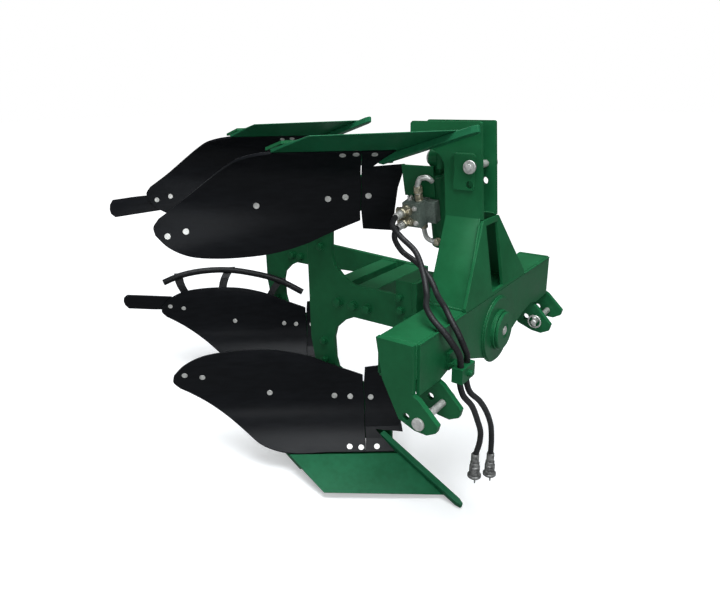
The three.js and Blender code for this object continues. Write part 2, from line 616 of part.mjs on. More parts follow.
// Turning frame: two beam plates whose legs reach up and down, and two beams across
const legHalf = sized(legShares);
const legOutline = legHalf.concat(legHalf.map(([x, z]) => [x, -z]).reverse());
const rightBeam = sidePlate(legOutline, nearPlateY, beamPlateThickness);
place("beam_plate_right", rightBeam, greenPaint);
const leftOutline = legOutline.map(([x, z]) => [x + rearShiftX, z])
  .map(([x, z], i) => (i === 0 || i === legOutline.length - 1
    ? [leftPlateStartShares[0] * tableLength, Math.sign(z) * leftPlateStartShares[1] * tableLength] : [x, z]));
const leftBeam = sidePlate(leftOutline, nearPlateY + rearShiftY, beamPlateThickness);
place("beam_plate_left", leftBeam, greenPaint);
const acrossFrom = nearPlateY + beamPlateThickness + fit;
const acrossTo = nearPlateY + rearShiftY - fit;
const frontBeam = box(crossBeamFrontX - crossBeamDepth, crossBeamFrontX, acrossFrom, acrossTo,
  -crossBeamHalfHeight, crossBeamHalfHeight);
place("cross_beam_front", frontBeam, greenPaint);
const rearBeam = box(rearCrossBeamX - rearCrossBeamDepth, rearCrossBeamX, acrossFrom, acrossTo,
  -crossBeamHalfHeight, crossBeamHalfHeight);
place("cross_beam_rear", rearBeam, greenPaint);

// Plough bodies, modelled once as the lower front body
const mouldboard = sheet(mouldPatch(mouldTopShares, mouldBottomShares, mouldFrontShares, mouldRearShares,
  mouldColumns, mouldRows), () => mouldThickness);
const wholeShin = sheet(mouldPatch(shinTopShares, shinBottomShares, shinEdgeShares, shinSeamShares,
  shinColumns, shinRows), () => shinThickness);

// Point on the share: u from the front to the wing, v from the seam to the cutting edge
function sharePoint(u, v) {
  const [seamEdge, cutEdge] = [shareTopShares, shareEdgeShares].map((edge) => edge.map((p) => vector([p[0], p[1], -p[2]])));
  const onSeam = seamEdge[0].clone().lerp(seamEdge[1], u);
  return onSeam.lerp(cutEdge[0].clone().lerp(cutEdge[1], u), v).multiplyScalar(tableLength);
}
function shareGrid(columns, rows, start, back, reach) {
  return Array.from({ length: rows + 1 }, (_, r) => Array.from({ length: columns + 1 }, (_, c) =>
    sharePoint(start + (1 - start) * c / columns, back + (reach - back) * r / rows)));
}
const share = sheet(shareGrid(shareColumns, shareRows, 0, 0, 1),
  (v) => shareThickness + (shareEdgeThickness - shareThickness) * v);
const shareNormal = new THREE.Vector3().crossVectors(
  sharePoint(1, 0).sub(sharePoint(0, 0)), sharePoint(0, 1).sub(sharePoint(0, 0))).normalize();

// Share point: a square bar laid along the front of the share, its rear end in a notch of the shin
const [barRear, barTip] = [barRearShares, barTipShares].map(([x, y, height]) => {
  const point = vector([x, y, -height]).multiplyScalar(tableLength);
  const above = point.clone().sub(sharePoint(0, 0)).dot(shareNormal);
  return point.addScaledVector(shareNormal, barThickness / 2 + fit - above);
});
const barAlong = barTip.clone().sub(barRear);
const barLength = barAlong.length();
barAlong.normalize();
const barAcross = new THREE.Vector3().crossVectors(shareNormal, barAlong).normalize();
const barUp = new THREE.Vector3().crossVectors(barAlong, barAcross);
const sharePointBar = plate([
  [0, -barWidth / 2], [barLength - barTipLength, -barWidth / 2], [barLength, -barWidth / 4],
  [barLength, barWidth / 4], [barLength - barTipLength, barWidth / 2], [0, barWidth / 2],
], barThickness, barRear.clone().addScaledVector(barUp, -barThickness / 2), barAlong, barAcross);
const besideBar = plate([
  [-barLength, -barWidth / 2 - seatGap], [barLength, -barWidth / 2 - seatGap],
  [barLength, barLength], [-barLength, barLength],
], barLength, barRear.clone().addScaledVector(barUp, -barLength / 2), barAlong, barAcross);
const underShin = sidePlate(sized(shinNotchShares).map(([a, b]) => [a, -b]), -tableLength, tableLength + tableLength);
const shin = wholeShin.subtract(besideBar.intersect(underShin));

// Frog: upright plate bolted to the leg, a rib behind the mouldboard and a seat under the share
const frogY = nearPlateY + beamPlateThickness + fit;
const carrier = sheet(setBack(shareGrid(shareColumns, 1, carrierStartShare, carrierBackShare, carrierShare),
  () => shareThickness + seatGap + fit), () => carrierThickness);
const nose = plate([
  [0, noseNarrowing - barWidth / 2], [noseLength, noseNarrowing - barWidth / 2],
  [noseLength, barWidth / 2 - noseNarrowing], [0, barWidth / 2 - noseNarrowing],
], noseDepth, barRear.clone().addScaledVector(barUp, -barThickness / 2 - seatGap - noseDepth), barAlong, barAcross);
const strap = sheet(setBack(mouldPatch(strapTopShares, strapBottomShares,
  [strapTopShares[0], strapBottomShares[0]], [strapTopShares[1], strapBottomShares[1]], shinColumns, shinRows),
() => shinThickness + seatGap), () => strapThickness);
const lowered = (table) => sized(table).map(([a, b]) => [a, -b]);
const frog = united(
  sidePlate(lowered(frogShares), frogY, frogThickness),
  crossPlate(lowered(ribShares), ribRearShare * tableLength, ribThickness), carrier, nose, strap);
const landside = sidePlate(lowered(landsideShares), frogY + frogThickness + fit, landsideThickness);

// Tail strip behind the end of a rear mouldboard
const strip = sheet(setBack(mouldPatch(stripTopShares, stripBottomShares,
  [stripTopShares[0], stripBottomShares[0]], stripEndShares, mouldRows, stripRows), () => mouldThickness + seatGap), () => stripThickness);

const pieces = [
  ["mouldboard", mouldboard, blackPaint],
  ["shin", shin, blackPaint],
  ["share", share, greenPaint],
  ["share_point", sharePointBar, greenPaint],
  ["frog", frog, greenPaint],
  ["landside", landside, greenPaint],
];
for (const [name, body, finish] of pieces) {
  const rear = body.translate([rearShiftX, rearShiftY, 0]);
  place(name + "_front_lower", body, finish);
  place(name + "_front_upper", flipped(body), finish);
  place(name + "_rear_lower", rear, finish);
  place(name + "_rear_upper", flipped(rear), finish);
}
const rearStrip = strip.translate([rearShiftX, rearShiftY, 0]);
place("tail_strip_lower", rearStrip, blackPaint);
place("tail_strip_upper", flipped(rearStrip), blackPaint);

// Round rod bent along a row of points
function bentRod(points, radius, sides, steps) {
  const circle = Array.from({ length: sides }, (_, i) => {
    const angle = 2 * Math.PI * i / sides;
    return new THREE.Vector2(radius * Math.cos(angle), radius * Math.sin(angle));
  });
  return solid(new THREE.ExtrudeGeometry(new THREE.Shape(circle), {
    steps, bevelEnabled: false, extrudePath: new THREE.CatmullRomCurve3(points),
  }));
}

// Guard rail over the lower rear mouldboard, on three flat posts that stand on the back of the mouldboard
const railPoints = railShares.map((p) => vector(p).multiplyScalar(tableLength));
const postHalfShare = postWidth / 2 / tableLength;
const posts = postHeadShares.map(([headX, headZ], i) => {
  const [footX, footZ] = postFootShares[i];
  const [front, rear] = [postHalfShare, -postHalfShare].map((half) => [[headX + half, headZ], [footX + half, footZ]]);
  return sheet(setBack(mouldPatch([front[0], rear[0]], [front[1], rear[1]], front, rear, 1, postRows),
    () => mouldThickness + postGap), () => postThickness);
});
const rail = united(bentRod(railPoints, railRadius, smallSides, railSteps), ...posts)
  .translate([rearShiftX, rearShiftY, 0]);
place("guard_rail", rail, blackPaint);

// Hoses from the banjos of the valve, over the crossbar, through the clamp and down to the couplings
const banjoX = -valveReach + banjoRadius;
const banjoY = -valveWidth - barrelRadius;
const banjoTop = -valveStart - (valveLength - banjoSpacing) / 2;
const banjos = [banjoTop - banjoSpacing, banjoTop].map((z) =>
  bar("y", banjoRadius, banjoY - banjoLength, banjoY, banjoX, z, smallSides));
place("turnover_valve", leaned(united(valve, ...banjos)), castGrey);
function hose(table, banjoZ) {
  const leave = [fit, hoseRun].map((run) =>
    new THREE.Vector3(banjoX, banjoY - banjoLength - run, banjoZ).applyMatrix4(leanTurn));
  return leave.concat(table.map((p) => vector(p).multiplyScalar(tableLength)));
}
const hoseRoutes = [hose(hoseOneShares, banjoTop), hose(hoseTwoShares, banjoTop - banjoSpacing)];
hoseRoutes.forEach((route, i) => {
  place("hose_" + "ab"[i], bentRod(route, hoseRadius, hoseSides, hoseSteps), blackRubber);
  const end = route[route.length - 1];
  const coupling = united(
    bar("z", couplingRadius, end.z - fit - couplingLength, end.z - fit, end.x, end.y, smallSides),
    bar("z", plugRadius, end.z - fit - couplingLength - plugLength, end.z - fit - couplingLength, end.x, end.y,
      smallSides));
  place("coupling_" + "ab"[i], coupling, zinc);
});

// Clamp that holds both hoses under the front plate
const clampFace = plateFace + frontPlateThickness;
const hoseHoles = [-clampHoleSpacing / 2, clampHoleSpacing / 2].map((offset) => bar("z", hoseRadius + clampPlay,
  clampZ - clampHeight, clampZ + clampHeight, clampX, clampY + offset, smallSides));
const clamp = united(
  box(clampX - clampDepth / 2, clampX + clampDepth / 2, clampY - clampWidth / 2, clampY + clampWidth / 2,
    clampZ - clampHeight / 2, clampZ + clampHeight / 2),
  box(clampFace, clampX, clampY - clampTabWidth / 2, clampY + clampTabWidth / 2, clampZ + clampHeight / 2 - clampTab,
    clampZ + clampHeight / 2),
  box(clampFace, clampFace + clampTab, clampY - clampTabWidth / 2, clampY + clampTabWidth / 2, clampZ, clampTabTop))
  .subtract(hoseHoles[0]).subtract(hoseHoles[1]);
place("hose_clamp", clamp, greenPaint);

// Origin: under the middle of the plough without its hoses, at the height the share points stand on
const extent = new THREE.Box3();
for (const mesh of plough.children)
  if (!/^(hose_[ab]|coupling_[ab])$/.test(mesh.name)) extent.expandByObject(mesh);
const middle = extent.getCenter(new THREE.Vector3());
for (const mesh of plough.children) mesh.geometry.translate(-middle.x, -middle.y, -extent.min.z);

export default plough;
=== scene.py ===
import json
import bmesh
import bpy
import numpy as np
from mathutils import Matrix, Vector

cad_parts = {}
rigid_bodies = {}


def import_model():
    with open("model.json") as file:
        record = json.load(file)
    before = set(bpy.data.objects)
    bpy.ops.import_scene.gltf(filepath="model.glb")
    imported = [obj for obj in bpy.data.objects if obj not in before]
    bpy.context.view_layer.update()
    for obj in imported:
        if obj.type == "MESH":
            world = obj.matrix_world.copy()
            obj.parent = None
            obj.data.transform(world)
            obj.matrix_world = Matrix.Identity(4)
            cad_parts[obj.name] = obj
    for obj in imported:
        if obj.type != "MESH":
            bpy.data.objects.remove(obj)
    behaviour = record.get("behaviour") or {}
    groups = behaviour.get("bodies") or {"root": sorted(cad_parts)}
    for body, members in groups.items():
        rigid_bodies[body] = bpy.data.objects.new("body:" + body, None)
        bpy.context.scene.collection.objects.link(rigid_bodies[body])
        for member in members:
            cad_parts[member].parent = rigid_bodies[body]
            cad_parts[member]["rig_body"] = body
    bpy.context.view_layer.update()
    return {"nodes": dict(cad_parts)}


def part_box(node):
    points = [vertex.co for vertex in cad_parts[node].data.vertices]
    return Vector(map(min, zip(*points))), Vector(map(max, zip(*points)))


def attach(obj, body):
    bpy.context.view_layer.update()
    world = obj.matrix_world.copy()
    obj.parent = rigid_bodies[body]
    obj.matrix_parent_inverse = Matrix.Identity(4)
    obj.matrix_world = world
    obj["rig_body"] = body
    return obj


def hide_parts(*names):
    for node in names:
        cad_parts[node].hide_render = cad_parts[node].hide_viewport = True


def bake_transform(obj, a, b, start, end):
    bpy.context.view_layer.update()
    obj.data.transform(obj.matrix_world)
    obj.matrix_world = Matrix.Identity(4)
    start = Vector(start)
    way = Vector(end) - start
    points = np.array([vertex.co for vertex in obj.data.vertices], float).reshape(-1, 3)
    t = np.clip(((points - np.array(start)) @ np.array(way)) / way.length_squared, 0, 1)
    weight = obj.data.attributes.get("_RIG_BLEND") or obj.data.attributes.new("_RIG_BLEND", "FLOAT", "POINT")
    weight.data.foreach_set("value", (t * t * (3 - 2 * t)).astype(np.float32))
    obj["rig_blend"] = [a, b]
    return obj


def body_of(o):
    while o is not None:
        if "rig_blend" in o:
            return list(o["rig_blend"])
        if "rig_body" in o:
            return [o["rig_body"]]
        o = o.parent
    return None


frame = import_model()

# Camera. The picture is taken from the front right of the plough, a little above the tower, with a
# plain lens. Everything is measured in millimetres from the turnover axis, at the crossbar's middle.
crossbar_low, crossbar_high = (np.array(corner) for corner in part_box("crossbar"))
shaft_low, shaft_high = (np.array(corner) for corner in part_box("turnover_shaft"))
axis_middle = np.array([(crossbar_low[0] + crossbar_high[0]) / 2, 0, (shaft_low[2] + shaft_high[2]) / 2])


def in_place(points):
    """The measured millimetres / 1000, plus the middle of the turnover axis: metres in the frame."""
    return axis_middle + np.asarray(points, float) / 1000


azimuth, elevation, roll = np.radians([36.19, 18.10, -0.94])
camera_spot = [576.9, -1301.0, 575.1]
focal_length, film_width, picture_shift = 28.75, 36, -0.025
level = np.array([np.sin(azimuth), -np.cos(azimuth), 0])
back = np.cos(elevation) * level + np.sin(elevation) * np.array([0, 0, 1])
right = np.array([np.cos(azimuth), np.sin(azimuth), 0])
up = np.cross(back, right)
rolled = (np.cos(roll) * right + np.sin(roll) * up, np.cos(roll) * up - np.sin(roll) * right, back)
lens = bpy.data.cameras.new("studio_camera")
lens.lens, lens.sensor_width, lens.shift_y = focal_length, film_width, picture_shift
camera = bpy.data.objects.new("studio_camera", lens)
turn = np.eye(4)
turn[:3, :3], turn[:3, 3] = np.stack(rolled, 1), in_place(camera_spot)
camera.matrix_world = Matrix(turn.tolist())
bpy.context.collection.objects.link(camera)
bpy.context.scene.camera = camera

# Hydraulic hoses. Two black rubber hoses of 14 mm with a wire braid inside, crimped into steel ferrules.
# They leave the banjos of the turnover valve, fall over the crossbar and hang through the clamp to
# their couplings.
hose_radius = 7
ribs_per_metre = 900 / (2 * np.pi)
route_steps = 300
last_with_cylinder, first_with_headstock = 12, 110  # steps of the route
hose_leaves = {  # where the banjo ends, and the end of the straight run out of it
    "hose_a": [[-185, -81.3, 286.0], [-185, -106.6, 280.0]],
    "hose_b": [[-185, -74.4, 256.8], [-185, -99.7, 250.8]],
}
hose_points = {
    "hose_a": [
        [-168, -144, 268], [-128, -168, 250], [-86, -172, 221], [-53, -192, 179], [-22, -229, 144],
        [5, -277, 134], [36, -301, 119], [64, -306, 100], [81, -298, 74], [88, -280, 45], [88, -271, 19],
        [88, -271, -4], [88, -271, -26], [91, -259, -60], [98, -225, -101], [98, -190, -155],
        [99, -169, -200], [96, -165, -232], [92, -170, -256], [90, -172, -270], [90, -172, -284],
    ],
    "hose_b": [
        [-172, -130, 236], [-136, -153, 212], [-88, -153, 186], [-54, -158, 158], [-14, -191, 131],
        [27, -233, 124], [55, -255, 106], [76, -262, 83], [87, -256, 54], [90, -245, 31], [88, -241, 14],
        [88, -241, -4], [88, -241, -26], [91, -227, -64], [97, -179, -111], [98, -136, -162],
        [99, -107, -214], [98, -95, -262], [98, -95, -298], [98, -95, -322],
    ],
}


class Link:
    """An output of a shader node. Arithmetic between links, or with a number, adds a Math node."""

    def __init__(self, tree, socket):
        self.tree, self.socket = tree, socket

    def node(self, kind, inputs, out=0, **settings):
        made = self.tree.nodes.new("ShaderNode" + kind)
        for key, value in settings.items():
            setattr(made, key, value)
        for key, value in inputs.items():
            if isinstance(value, Link):
                self.tree.links.new(value.socket, made.inputs[key])
            else:
                made.inputs[key].default_value = value
        return Link(self.tree, made.outputs[out])

    def maths(self, operation, first, second):
        return self.node("Math", {0: first, 1: second}, operation=operation)

    def __add__(self, other):
        return self.maths("ADD", self, other)

    def __mul__(self, other):
        return self.maths("MULTIPLY", self, other)

    def noise(self, scale, detail=3):
        return self.node("TexNoise", {"Vector": self, "Scale": scale, "Detail": detail, "Roughness": 0.55})

    def between(self, low, high):
        """The share of the way from low to high, held to 0 and 1."""
        return self.node("MapRange", {"Value": self, "From Min": low, "From Max": high})

    def tint(self, low, high):
        """The colour that lies this share of the way from low to high."""
        return self.node("Mix", {0: self, 6: (*low, 1), 7: (*high, 1)}, out=2, data_type="RGBA")


class Finish:
    """A material with one Principled shader. Constants go straight onto its sockets."""

    def __init__(self, name, **constants):
        self.material = bpy.data.materials.new(name)
        self.material.use_nodes = True
        self.tree = self.material.node_tree
        self.shader = self.tree.nodes["Principled BSDF"]
        for key, value in constants.items():
            self.shader.inputs[key.replace("_", " ")].default_value = value
        self.place = Link(self.tree, self.tree.nodes.new("ShaderNodeTexCoord").outputs["Object"])

    def feed(self, key, link):
        self.tree.links.new(link.socket, self.shader.inputs[key])

    def bump(self, height, distance, strength):
        """The surface normal tilted by the slope of height times distance."""
        inputs = {"Height": height, "Distance": distance, "Strength": strength}
        self.feed("Normal", height.node("Bump", inputs))


rubber = Finish("hose_rubber", Specular_IOR_Level=0.3)
wrap = rubber.place.noise(260, 2)
dust = rubber.place.noise(30).between(0.35, 0.7)
rubber.feed("Base Color", dust.tint((0.006, 0.006, 0.007), (0.014, 0.014, 0.015)))
rubber.feed("Roughness", wrap * 0.25 + 0.38)
rib = Link(rubber.tree, rubber.tree.nodes.new("ShaderNodeAttribute").outputs["Fac"])
rib.socket.node.attribute_name = "run"
waves = rib * (2 * np.pi * ribs_per_metre)
rubber.bump(waves.maths("SINE", waves, 0) * 0.5 + wrap, 0.0003, 0.6)


def smooth_route(points, count):
    """Centripetal Catmull-Rom curve: knots are spaced by the square root of the chord, the tangent at
    a point is the slope through its neighbours by those knots, and cubic Hermite pieces join the points."""
    points = np.asarray(points, float)
    ends = (2 * points[0] - points[1], 2 * points[-1] - points[-2])
    padded = np.vstack([ends[0], points, ends[1]])
    gap = np.sqrt(np.linalg.norm(np.diff(padded, axis=0), axis=1))[:, None]
    slope = np.diff(padded, axis=0) / gap
    wide = (padded[2:] - padded[:-2]) / (gap[1:] + gap[:-1])
    tangent = slope[:-1] - wide + slope[1:]
    share = np.linspace(0, len(points) - 1, count)
    piece_no = np.minimum(share.astype(int), len(points) - 2)
    t, gap = (share - piece_no)[:, None], gap[1:-1][piece_no]
    return ((2 * t**3 - 3 * t**2 + 1) * points[piece_no]
            + (t**3 - 2 * t**2 + t) * gap * tangent[piece_no]
            + (3 * t**2 - 2 * t**3) * points[piece_no + 1]
            + (t**3 - t**2) * gap * tangent[piece_no + 1])


def even_steps(path, count):
    """The same path with its points a constant length apart, read off its running length."""
    run = np.append(0, np.cumsum(np.linalg.norm(np.diff(path, axis=0), axis=1)))
    return np.stack([np.interp(np.linspace(0, run[-1], count), run, path[:, k]) for k in range(3)], 1)


def swept(path, radius, sides=16, lean=(0.83, 0.31, 0.47)):
    """A circle carried square to the path: point = path + radius (cos a n + sin a b), where n is square
    to the path and to lean, and b to both. The radius may change along the path; both ends close to a
    point."""
    path = np.asarray(path, float)
    along = np.gradient(path, axis=0)
    along /= np.linalg.norm(along, axis=1, keepdims=True)
    n = np.cross(along, lean)
    n /= np.linalg.norm(n, axis=1, keepdims=True)
    b = np.cross(along, n)
    angle = np.linspace(0, 2 * np.pi, sides, endpoint=False)[None, :, None]
    radius = np.broadcast_to(radius, len(path))[:, None, None]
    ring = path[:, None] + radius * (np.cos(angle) * n[:, None] + np.sin(angle) * b[:, None])
    ends = [np.repeat(path[k][None, None], sides, 1) for k in (0, -1)]
    return np.concatenate([ends[0], ring, ends[1]])


def turned(profile, start, axis, sides=48, shape=None):
    """A profile of (distance along the axis, radius) spun about the axis from start. With shape, the
    radius is also multiplied by shape(angle) in the rows whose third number is 1."""
    profile = np.asarray([(*row, 0) if len(row) == 2 else row for row in profile], float)
    axis = np.asarray(axis, float) / np.linalg.norm(axis)
    n = np.cross(axis, np.roll(axis, 1) + (0.1, 0.2, 0.3))
    n /= np.linalg.norm(n)
    b = np.cross(axis, n)
    angle = np.linspace(0, 2 * np.pi, sides, endpoint=False)
    factor = 1 + profile[:, 2:] * ((shape(angle) if shape else 1) - 1)
    spoke = np.cos(angle)[:, None] * n + np.sin(angle)[:, None] * b
    return np.asarray(start) + profile[:, None, :1] * axis + (profile[:, 1:2] * factor)[..., None] * spoke


merge_distance = 1e-5


def piece(name, grids, finish, body):
    """One object from grids of points that close round: each grid's rows are joined by quads, and its
    last column meets its first. Poles and seams are merged, and the faces turned outward."""
    faces, start = [], 0
    for grid in grids:
        rows, columns = grid.shape[:2]
        r, c = np.arange(rows - 1)[:, None] * columns, np.arange(columns)[None]
        after = (c + 1) % columns
        quads = np.stack(np.broadcast_arrays(r + c, r + after, r + after + columns, r + c + columns), -1)
        faces.append(quads.reshape(-1, 4) + start)
        start += rows * columns
    mesh = bpy.data.meshes.new(name)
    points = in_place(np.concatenate([grid.reshape(-1, 3) for grid in grids]))
    mesh.from_pydata(points, [], np.concatenate(faces).tolist())
    return finished(mesh, finish, body)


def finished(mesh, finish, body, crease=35):
    """Doubles closer than 0.01 mm merged, normals outward, edges over the crease angle left sharp."""
    shell = bmesh.new()
    shell.from_mesh(mesh)
    bmesh.ops.remove_doubles(shell, verts=shell.verts, dist=merge_distance)
    bmesh.ops.recalc_face_normals(shell, faces=shell.faces)
    shell.to_mesh(mesh)
    shell.free()
    mesh.shade_smooth()
    mesh.set_sharp_from_angle(angle=np.radians(crease))
    mesh.materials.append(finish.material)
    made = bpy.data.objects.new(mesh.name, mesh)
    bpy.context.collection.objects.link(made)
    if body:
        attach(made, body)
    return made


hoses, hose_paths = {}, {}
for name, leave in hose_leaves.items():
    route = even_steps(smooth_route(leave + hose_points[name], 3 * route_steps), route_steps)
    hose_paths[name] = route
    tube = piece(name + "_rubber", [swept(route, hose_radius)], rubber, None)
    run = np.append(0, np.cumsum(np.linalg.norm(np.diff(route, axis=0), axis=1)))
    corners = np.empty(len(tube.data.vertices) * 3)
    tube.data.vertices.foreach_get("co", corners)
    nearest = np.argmin(np.linalg.norm(corners.reshape(-1, 1, 3) - in_place(route)[None], axis=2), axis=1)
    tube.data.attributes.new("run", "FLOAT", "POINT").data.foreach_set("value", run[nearest] / 1000)
    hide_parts(name)
    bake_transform(tube, "cylinder", "headstock", start=tuple(in_place(route[last_with_cylinder])),
             end=tuple(in_place(route[first_with_headstock])))
    hoses[name] = tube

# Hose couplings. Turned steel tips of 26 mm with a grooved sleeve, crimped on the hoses' lower ends and
# dulled by use. Each is closed by a dust plug with two wings, so that it can be pulled out by hand.
zinc = Finish("zinc_plate", Metallic=0.5)
spangle = zinc.place.noise(90, 4)
zinc.feed("Base Color", spangle.between(0.35, 0.65).tint((0.42, 0.42, 0.40), (0.64, 0.63, 0.60)))
zinc.feed("Roughness", spangle * 0.3 + 0.22)
zinc.bump(zinc.place.noise(400), 0.0001, 0.5)
steel = Finish("dulled_steel", Metallic=0.6)
handled = steel.place.noise(110, 4)
steel.feed("Base Color", handled.between(0.35, 0.65).tint((0.09, 0.09, 0.088), (0.26, 0.26, 0.25)))
steel.feed("Roughness", handled * 0.3 + 0.25)
steel.bump(handled, 0.0001, 0.5)


def slab(start, end, across, wide, thick, rounding=0.25):
    """A flat bar from start to end: a rounded rectangle, |cos|^p and |sin|^p of an angle, carried
    straight."""
    start, end = np.asarray(start, float), np.asarray(end, float)
    along = (end - start) / np.linalg.norm(end - start)
    across = np.asarray(across, float) - np.dot(across, along) * along
    across /= np.linalg.norm(across)
    deep = np.cross(along, across)
    angle = np.linspace(0, 2 * np.pi, 32, endpoint=False)
    power = lambda wave: np.sign(wave) * np.abs(wave) ** rounding
    outline = (power(np.cos(angle))[:, None] * across * wide / 2
               + power(np.sin(angle))[:, None] * deep * thick / 2)
    steps = np.array([0, 0, 1, 1])[:, None, None] * (end - start)
    return start + steps + outline[None] * np.array([0, 1, 1, 0])[:, None, None]


coupling_gap = 0.3
crimp_length = 22.9
wing_root, wing_tip = np.array([6, -9, 0]), np.array([10, -19, 0])
wing_drop = np.array([0, 0, 40])
wing_wide, wing_thick = 11, 4
sleeve = [
    (0, 0), (0, 10), (1, 11.5), (10, 11.5), (11, 13), (15, 13), (15.6, 11.8), (18, 11.8), (18.6, 13),
    (23, 13), (23.6, 11.8), (26, 11.8), (26.6, 13), (33, 13), (34, 12.2), (34, 0),
]
plug = [(34, 0), (34, 15), (35.5, 17), (40, 17), (42, 15), (46, 9), (46.3, 0)]
crimp = [
    (0, 0), (0, 8.4), (1, 9.6), (9, 9.8), (10, 9.1), (12, 9.1), (13, 9.8), (22, 9.6), (23, 8.4), (23, 0),
]
down = (0, 0, -1)
for name, route in hose_paths.items():
    end = route[-1] - (0, 0, coupling_gap)
    coupling = name.replace("hose", "coupling")
    wings = [slab(end - wing_drop - (0, 0, 1) + side * wing_root, end - wing_drop + side * wing_tip,
                  (0, 0, 1), wing_wide, wing_thick, 0.6) for side in (-1, 1)]
    tip = piece(coupling + "_sleeve", [turned(sleeve, end, down), turned(plug, end, down), *wings], steel,
                "headstock")
    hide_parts(coupling)
    ferrule = piece(name + "_crimp", [turned(crimp, route[-1] + (0, 0, crimp_length), down, 32)], steel,
                    "headstock")
    start = np.array(hose_leaves[name])
    piece(name + "_banjo_crimp", [turned(crimp, start[0], start[1] - start[0], 32)], zinc, "cylinder")

# Hose clamp. Two green pressed halves round both hoses, held by a painted screw on a tab of the front
# plate, so that the hoses can't chafe on the crossbar.
green = Finish("green_paint", Specular_IOR_Level=0.14)
cloud = green.place.noise(7, 4)
peel = green.place.noise(330, 2)
green.feed("Base Color", (cloud * 0.7 + green.place.noise(45, 5) * 0.3).between(0.38, 0.62).tint(
    (0.0065, 0.078, 0.027), (0.0095, 0.102, 0.037)))
green.feed("Roughness", cloud.between(0.3, 0.7) * 0.14 + 0.3)
green.bump(peel + green.place.noise(60) * 0.8, 0.00035, 0.5)


sharp_angle = np.radians(30)
flat_angle = np.radians(0.6)


def dressed(node, finish, rounding):
    """The node's own shape, its doubles merged, its flat faces joined and its edges rounded by so many
    mm."""
    source = frame["nodes"][node]
    shell = bmesh.new()
    shell.from_mesh(source.data)
    bmesh.ops.remove_doubles(shell, verts=shell.verts, dist=merge_distance)
    bmesh.ops.dissolve_limit(shell, angle_limit=flat_angle, verts=shell.verts, edges=shell.edges)
    mesh = bpy.data.meshes.new(node + "_finished")
    shell.to_mesh(mesh)
    shell.free()
    mesh.shade_smooth()
    mesh.set_sharp_from_angle(angle=sharp_angle)
    mesh.materials.append(finish.material)
    made = bpy.data.objects.new(mesh.name, mesh)
    bpy.context.collection.objects.link(made)
    bevel = made.modifiers.new("rounded_edges", "BEVEL")
    bevel.width, bevel.segments, bevel.limit_method = rounding / 1000, 2, "ANGLE"
    bevel.angle_limit, bevel.harden_normals, bevel.miter_outer = sharp_angle, True, "MITER_ARC"
    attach(made, body_of(source)[0])
    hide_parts(node)
    return made


def hexagon(angle):
    """Distance to a hexagon's side for an inner circle of 1: 1 / cos of the angle to the nearest side's
    middle."""
    return 1 / np.cos((angle + np.pi / 6) % (np.pi / 3) - np.pi / 6)


def hex_head(start, axis, flats, height, washer=1.35, washer_thick=2.2, shank=0, shank_radius=0):
    """A washer and a six-sided head with a turned-off crown, and the shank's end past it if there is
    one. The washer goes 0.4 mm into what it lies on."""
    half = flats / 2
    top = washer_thick + height
    rows = [(-0.4, 0), (-0.4, washer * half), (washer_thick - 0.4, washer * half),
            (washer_thick, washer * half - 0.4), (washer_thick, half * 0.97, 1),
            (washer_thick + 0.8, half, 1), (top - 1.5, half, 1), (top - 0.4, half * 1.03),
            (top, half * 0.94)]
    if shank:
        rows += [(top, shank_radius), (top + shank - 1, shank_radius), (top + shank, shank_radius - 1),
                 (top + shank, 0)]
    else:
        rows += [(top, 0)]
    return turned(rows, start, axis, 36, hexagon)


clamp_front = [100.9, -256, -4]
dressed("hose_clamp", green, 1.5)
piece("clamp_screw", [hex_head(clamp_front, (1, 0, 0), 13, 7)], green, "headstock")

# Crossbar. A square box section of 90 mm with 8 mm walls, the backbone that everything on the headstock
# is welded to. The four hitch lugs are cut from 14 mm plate; the outer ones close the crossbar's ends.
box_rounding, plate_rounding = 5, 1.5
dressed("crossbar", green, box_rounding)
for which in ("outer", "inner"):
    for word in ("left", "right"):
        dressed(which + "_hitch_lug_" + word, green, plate_rounding)


bead_step, ripple_length, drift_length = 1.2, 3.2, 7.3


def weld(*corners, radius=4.0):
    """A bead along straight runs: its radius is multiplied by 0.92 + 0.1 sin (2 pi run / ripple length)
    + 0.04 sin (run / drift length), and tapers as a square root at both ends."""
    corners = np.asarray(corners, float)
    run = np.append(0, np.cumsum(np.linalg.norm(np.diff(corners, axis=0), axis=1)))
    steps = np.linspace(0, run[-1], max(int(run[-1] / bead_step), 4))
    path = np.stack([np.interp(steps, run, corners[:, k]) for k in range(3)], 1)
    swell = radius * (0.92 + 0.1 * np.sin(2 * np.pi * steps / ripple_length)
                      + 0.04 * np.sin(steps / drift_length))
    taper = np.clip(4 * np.minimum(steps, run[-1] - steps) / radius, 0.3, 1) ** 0.5
    return swept(path, swell * taper, 10, (0.41, 0.53, 0.74))


inner_lug_faces = (282.5, 297.5)
outer_lug_face = 386
crossbar_front, crossbar_rear, crossbar_bottom, crossbar_top = 44.5, -45.5, 7, 97
beads = []
for side in (-1, 1):
    for face in inner_lug_faces:
        beads.append(weld([-30, side * face, crossbar_bottom], [44, side * face, crossbar_bottom]))
    y = side * outer_lug_face
    beads.append(weld([crossbar_front, y, 20], [crossbar_front, y, crossbar_top], radius=3))
    beads.append(weld([crossbar_rear, y, 10], [crossbar_rear, y, crossbar_top], radius=3))
    beads.append(weld([-44, y, 7.5], [40, y, 7.5], radius=3.5))
piece("hitch_welds", beads, green, "headstock")

